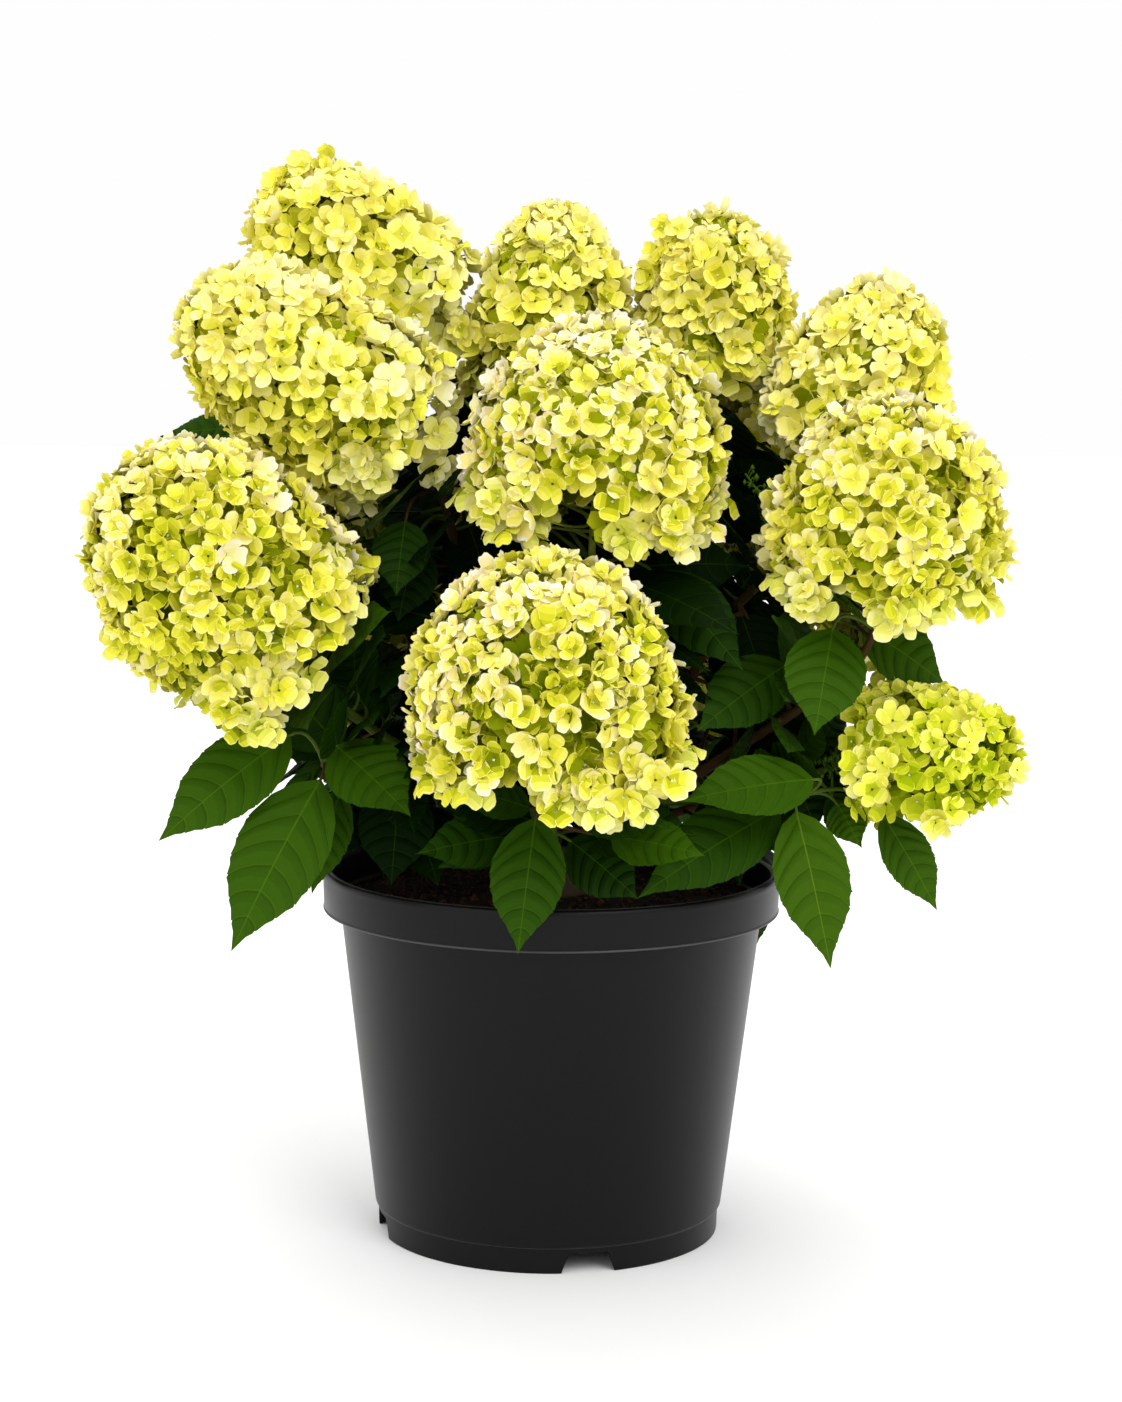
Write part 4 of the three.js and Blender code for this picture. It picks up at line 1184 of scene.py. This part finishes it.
def sites(bloom, spacing, size_at, first_turn):
    """Places at even spacing for a floret's size: point, normal, and shares of length and underside."""
    path = bloom_path(bloom)
    foot, axis, u, v = bloom_frame(bloom)
    steps = np.diff(path, axis=0)
    lengths = np.linalg.norm(steps, axis=1)
    middles = (path[:-1] + path[1:]) / 2
    weight = np.array([1 / size_at(z / bloom.long) ** 2 for _, z in middles])
    areas = np.concatenate([[0], np.cumsum(2 * math.pi * middles[:, 0] * lengths * weight)])
    count = int(areas[-1] / (0.866 * spacing**2))
    found = []
    for k in range(count):
        area = areas[-1] * (k + 0.5) / count
        i = min(int(np.searchsorted(areas, area)), len(areas) - 1)
        t = (area - areas[i - 1]) / (areas[i] - areas[i - 1])
        r, z = path[i - 1] + steps[i - 1] * t
        slope = steps[i - 1] / lengths[i - 1]
        turn = first_turn + k * GOLDEN_TURN
        out = u * math.cos(turn) + v * math.sin(turn)
        normal = unit(out * -slope[1] + axis * slope[0])
        under = max(0, i - HEAD.down) / HEAD.under
        found.append((foot + axis * z + out * r, normal, z / bloom.long, under))
    return found


def frame_on(normal, spin, tilt):
    """A turn matrix whose third column is the normal, tipped by tilt."""
    across = ALONG_X if abs(normal[2]) > 0.8 else UP
    u = unit(np.cross(across, normal))
    v = np.cross(normal, u)
    w = unit(normal + u * tilt[0] + v * tilt[1])
    a = unit(np.cross(v, w))
    b = np.cross(w, a)
    c, s = math.cos(spin), math.sin(spin)
    return np.stack([a * c + b * s, b * c - a * s, w], 1)


def tone_names(share, family, draw):
    """Tints for a floret's claws, inner and outer blades, rims and eye, by its share of painted light.
    """
    tints = LADDERS[family]
    last = len(tints) - 1
    middle = int(round(last * (TINT_RANGE.first + TINT_RANGE.span * share)))
    # The steps paint shade in the cup and a highlight on the rims.
    steps = TINT_STEPS["deep" if draw.random() < SHADED_CUP_SHARE else "plain"]
    names = [tints[int(np.clip(round(middle + step * last / 12), 0, last))][0] for step in steps]
    # Eyes that are not pale get the dark tint, painted shade in the floret's middle.
    names.append("eye_pale" if draw.random() < EYE.pale else "eye_dark")
    return names


def in_gap(name, p):
    return any(np.linalg.norm(p - np.array(middle)) < reach for middle, reach in GAPS.get(name, ()))


# Floret radii from a head's foot to its tip: at the foot, the fall to the tip, and its power.
FLORET_SIZE = {"young": (11.4, 2.5, 1), "grown": (11.7, 2.6, 1.6)}
# How far the florets of each layer stand apart, in radii.
SPACING = {"inner": 1.6, "behind": 1.42, "young": 1.26, "shown": 1.2}
# The inner layer: how far it lies under the surface, where it ends and how its tints are dealt:
# the darkest ones, as painted shade, a step lighter high up and darker underneath.
FILL = Values(
    sunk=11, loose=4, under=17, rim=0.12, under_rim=0.4, tilt=0.4, overlap=2, tints=3, lit_from=430,
)
# The outer layer: lumps as height and size, how deep each share of its florets lies, and its skirt.
OUTER = Values(
    lumps=((4.2, 32), (1.4, 11)), depths=[0.0, 3.5, 7.5], depth_shares=[0.52, 0.30, 0.18],
    sizes=(0.86, 1.09), rim=0.08, droop=(-2, 7), outward=0.25, tilt=0.2, overlap=3, missing=0.4,
)
# A floret's painted light, which picks its tint: its middle, what its facing, lump and depth add
# or take, its spread and its height. Up-facing, outstanding and high florets get paler tints.
PAINTED_LIGHT = Values(
    middle=0.58, facing_up=0.18, lump=0.015, depth=0.05, spread=0.13, level=400, rise=2200, skirt=0.5,
)
# How many florets have the skirt's tints at a head's foot, and how soon these end further up.
SKIRT_TINTS = Values(foot=0.95, fall=2.4)
BRANCH = Values(ahead=0.2, last=0.7, inward=0.4, radii=[0.7, 0.55, 0.5], sides=3)
RACHIS = Values(end=0.8, bend=0.15, rings=9, foot=2.4, tip=1.0, sides=7)
# Side branches on the main stalk: their number, where they leave it, and how far they reach.
SIDE = Values(
    young=20, grown=32, first=0.04, span=0.62, start=0.1, profile=0.12, ahead=0.06, inside=13, sag=3,
    scatter=2, rings=5, foot=1.1, tip=0.6, sides=4,
)


class Head:
    """One flower head while its florets are laid on it."""

    def __init__(self, name, bloom, shapes, stalks, number):
        self.name = name
        self.bloom = bloom
        self.shapes = shapes
        self.stalks = stalks
        self.young = name == YOUNG_HEAD
        self.foot, self.axis = bloom_frame(bloom)[:2]
        self.draw = np.random.default_rng(SEEDS.heads + number)
        self.others = [other for key, other in BLOOMS.items() if key != name]
        self.heap = Heap()

    def size_at(self, share):
        """Floret radius in millimetres: small at the tip and large at the skirt."""
        foot, fall, power = FLORET_SIZE["young" if self.young else "grown"]
        return foot - fall * share**power

    def hidden(self, p, limit):
        return in_gap(self.name, p) or any(depth_in(other, p) > limit for other in self.others)

    def add_inner(self, coarse, number):
        """The lower layer: plain florets in dark tints, painted shade, that close the head under the
        others.
        """
        points, faces = coarse
        family = LADDERS["young" if self.young else "head"]
        for p, normal, share, under in sites(self.bloom, SPACING["inner"], self.size_at, number):
            sunk = FILL.under if under else FILL.sunk + FILL.loose * self.draw.random()
            at = p - normal * sunk
            edge = under < FILL.under_rim if under else share < HEAD.skirt + FILL.rim
            if edge or self.hidden(at, FILL.overlap):
                continue
            turn = frame_on(normal, self.draw.uniform(*SPIN), self.draw.normal(0, FILL.tilt, 2))
            # Painted shade: one of the darkest tints, a step lighter high up and a step darker
            # underneath.
            tone = int(self.draw.integers(0, FILL.tints) + (p[2] > FILL.lit_from) - (under > 0))
            self.heap.add(points * self.size_at(share) @ turn.T + at, faces, family[tone][0])

    def add_floret(self, at, normal, radius, kind, names):
        shapes = self.shapes[kind]
        points, faces, zones = shapes[int(self.draw.integers(len(shapes)))]
        turn = frame_on(normal, self.draw.uniform(*SPIN), self.draw.normal(0, OUTER.tilt, 2))
        self.heap.add(points * radius @ turn.T + at, faces, [names[zone] for zone in zones])

    def add_branch(self, at, share):
        """A floret's own stalk, from the branches inside the head."""
        along = min(share + BRANCH.ahead, BRANCH.last)
        spine = self.foot + self.axis * self.bloom.long * along
        inner = at + (spine - at) * BRANCH.inward
        path = [inner, (inner + at) / 2 + UP, at]
        tube(self.stalks, path, BRANCH.radii, BRANCH.sides, "stalk_lime")

    def kind_at(self, skirt):
        return str(self.draw.choice(KINDS, p=KIND_SHARES["skirt" if skirt else "crown"]))

    def names_at(self, share, normal, light):
        """The tints of a floret at a share of the head's length."""
        if self.young:
            return tone_names(light, "young", self.draw)
        if self.draw.random() < SKIRT_TINTS.foot - SKIRT_TINTS.fall * share:
            return tone_names(light, "skirt", self.draw)
        names = tone_names(light, "high" if self.name in HEADS_IN_PAINTED_LIGHT else "head", self.draw)
        blushed = self.name in BLUSHED.heads and normal[0] < BLUSHED.side
        if blushed and self.draw.random() < BLUSHED.share:
            names[1:4] = BLUSHED.tints
        return names

    def add_outer(self, number):
        """The florets that show, in lumps, some deeper than others, ragged at the skirt."""
        draw = self.draw
        place = "behind" if self.name.startswith(BEHIND) else "young" if self.young else "shown"
        missing = OUTER.missing * self.axis[2] ** 2
        sunk = SUNK.get(self.name, HEAD.sunk)
        for p, normal, share, under in sites(self.bloom, SPACING[place], self.size_at, number + 0.5):
            lump = sum(height * lumps(p, size) for height, size in OUTER.lumps)
            deep = draw.choice(OUTER.depths, p=OUTER.depth_shares)
            skirt = share < HEAD.skirt + OUTER.rim
            radius = self.size_at(share) * draw.uniform(*OUTER.sizes)
            at = p + normal * (lump - deep - sunk)
            if skirt and not under:
                at = at - self.axis * draw.uniform(*OUTER.droop)
                normal = unit(normal - self.axis * OUTER.outward)
            if self.hidden(at, OUTER.overlap) or under and draw.random() < missing:
                continue
            # Painted light and shade: paler tints where a floret faces up, stands out or sits high,
            # darker deeper in.
            light = PAINTED_LIGHT.middle + PAINTED_LIGHT.facing_up * normal[2] + PAINTED_LIGHT.lump * lump
            light = light - deep * PAINTED_LIGHT.depth + draw.normal(0, PAINTED_LIGHT.spread)
            light += (at[2] - PAINTED_LIGHT.level) / PAINTED_LIGHT.rise + HEAD_PAINTED_LIGHT.get(self.name, 0)
            if skirt or under:
                light = max(light, PAINTED_LIGHT.skirt)
            kind = self.kind_at(skirt or under)
            self.add_floret(at, normal, radius, kind, self.names_at(share, normal, light))
            if under or skirt or self.young:
                self.add_branch(at, share)

    def add_tufts(self):
        """Loose florets at the head's edge on stalks of their own."""
        draw = self.draw
        middle = np.array(self.bloom.at, float)
        for place, count in TUFTS.get(self.name, ()):
            for _ in range(count):
                off = np.clip(draw.normal(0, 1, 3), -TUFT.limit, TUFT.limit) * TUFT.reach
                at = np.array(place) + off
                scatter = draw.normal(0, TUFT.scatter, 3)
                way = unit((at - middle) * TUFT.turn + TUFT.forward + scatter)
                along = np.dot(at - self.foot, self.axis) / self.bloom.long
                share = float(np.clip(along, *TUFT.shares))
                radius = self.size_at(share) * draw.uniform(*TUFT.sizes)
                # The loose florets' tints by a set painted light, paler on the young head.
                light = TUFT.light + TUFT.young_light * self.young
                light += draw.normal(0, TUFT.light_spread)
                kind = self.kind_at(True)
                self.add_floret(at, way, radius, kind, self.names_at(share, way, light))
                self.add_branch(at, share)

    def add_rachis(self):
        """The head's main stalk and the side branches that spread to its florets."""
        bloom, foot, axis = self.bloom, self.foot, self.axis
        u, v = bloom_frame(bloom)[2:]
        start = foot - stalk_way(bloom) * BLOOM.stalk
        bend = foot + axis * bloom.long * RACHIS.bend
        path = Curve(start, bend, foot + axis * bloom.long * RACHIS.end)
        limb(self.stalks, path, RACHIS, "stalk_lime")
        count = SIDE.young if self.young else SIDE.grown
        for k in range(count):
            share = SIDE.first + SIDE.span * k / count
            turn = k * GOLDEN_TURN
            out = u * math.cos(turn) + v * math.sin(turn)
            root = path.at(SIDE.start + share)
            wide = bloom.radius * bloom_profile(min(share + SIDE.profile, 1), bloom.blunt)
            tip = foot + axis * bloom.long * (share + SIDE.ahead) + out * (wide - SIDE.inside)
            sag = (root + tip) / 2 - axis * SIDE.sag + self.draw.normal(0, SIDE.scatter, 3)
            limb(self.stalks, Curve(root, sag, tip), SIDE, "stalk_lime")


def make_panicle(name, bloom, shapes, coarse, stalks, number):
    """One flower head: its layers of florets and the stalks that carry them."""
    head = Head(name, bloom, shapes, stalks, number)
    head.add_inner(coarse, number)
    head.add_outer(number)
    head.add_tufts()
    head.add_rachis()
    made = head.heap.build("florets_" + name)
    piece(made, "green_florets" if head.young else "florets", "panicle_" + name)


def make_bud_sprays(shoots, heap):
    """Unopened clusters: short stalks with small pointed buds."""
    draw = np.random.default_rng(SEEDS.buds)
    lump, faces = chip()
    for name, places in BUD_SPRAYS.items():
        for place in places:
            top = np.array(place, float)
            root = nearest_on(shoots[name].curve, top)
            path = Curve(root, (root + top) / 2 - UP * BUD.sag, top)
            limb(heap, path, BUD, "bud_green")
            for k in range(BUD.count):
                share = BUD.first + BUD.span * k / BUD.count
                here = path.at(share)
                out = unit(draw.normal(0, 1, 3) + UP * BUD.rise)
                reach = BUD.reach + BUD.opening * (1 - share)
                end = here + out * (reach * draw.uniform(*BUD.reaches))
                tube(heap, [here, (here + end) / 2 + UP, end], BUD.stalk, 3, "bud_green")
                heap.add(lump * BUD.lump * draw.uniform(*BUD.sizes) + end, faces, "bud_green")


def make_camera():
    lens = bpy.data.cameras.new("camera")
    lens.sensor_width = CAMERA.sensor
    lens.lens = CAMERA.lens
    lens.clip_end = 30
    camera = bpy.data.objects.new("camera", lens)
    camera.location = [c * MM for c in CAMERA.place]
    camera.rotation_mode = "QUATERNION"
    pitched = Quaternion((1, 0, 0), math.pi / 2 - CAMERA.pitch)
    camera.rotation_quaternion = pitched @ Quaternion((0, 0, 1), CAMERA.roll)
    bpy.context.scene.collection.objects.link(camera)
    bpy.context.scene.camera = camera


def sun(name, way, angle, strength):
    """A broad soft lamp so far away that it falls evenly on the floor."""
    light = bpy.data.lights.new(name, "SUN")
    light.angle = math.radians(angle)
    light.energy = strength
    lamp = bpy.data.objects.new(name, light)
    lamp.rotation_mode = "QUATERNION"
    lamp.rotation_quaternion = Vector(way).to_track_quat("-Z", "Y")
    bpy.context.scene.collection.objects.link(lamp)


# Each lamp's way, its angle in degrees and its strength.
LAMPS = {
    "key": ((-0.45, 0.75, -0.7), 34, 1.1),
    "fill": ((0.5, 0.75, -0.55), 70, 0.58),
    "back": ((0.1, -0.55, -0.83), 50, 0.8),
}
FLOOR = Values(half=9000, white=0.922)
SURROUND = 0.99


def make_studio():
    """A pale floor under an even white surround, with soft lamps."""
    scene = bpy.context.scene
    scene.view_settings.view_transform = "Standard"
    world = bpy.data.worlds.new("studio")
    scene.world = world
    world.use_nodes = True
    sky = world.node_tree.nodes["Background"]
    sky.inputs["Color"].default_value = (1, 1, 1, 1)
    sky.inputs["Strength"].default_value = SURROUND
    for name, (way, angle, strength) in LAMPS.items():
        sun(name, way, angle, strength)
    surface("floor", (FLOOR.white,) * 3, 0.8, 0.05, 4, shine=0.05)
    floor = Heap()
    edge = FLOOR.half
    corners = [(-edge, -edge, 0), (edge, -edge, 0), (edge, edge, 0), (-edge, edge, 0)]
    floor.add(corners, [(0, 1, 2, 3)], "floor")
    floor.build("floor", smooth=False)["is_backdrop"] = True


make_camera()
make_materials()
make_studio()
canes = {name: cane_curve(fork, turn) for name, (fork, turn) in CANES.items()}
make_pot()
make_mix()
make_wood(canes)
all_shoots = make_shoots(canes)
make_foliage(all_shoots)
all_shapes = floret_shapes()
all_stalks = Heap()
for order, (title, row) in enumerate(BLOOMS.items()):
    make_panicle(title, row, all_shapes, coarse_floret(), all_stalks, order)
make_bud_sprays(all_shoots, all_stalks)
piece(all_stalks.build("flower_stalks"), "green_florets")

boxes = {"cad": cad_box, "visual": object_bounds()}
meshes = bpy.data.meshes.items()
sizes = {key: [list(corner) for corner in pair] for key, pair in boxes.items()}
sizes["triangles"] = {name: len(mesh.loops) - 2 * len(mesh.polygons) for name, mesh in meshes}
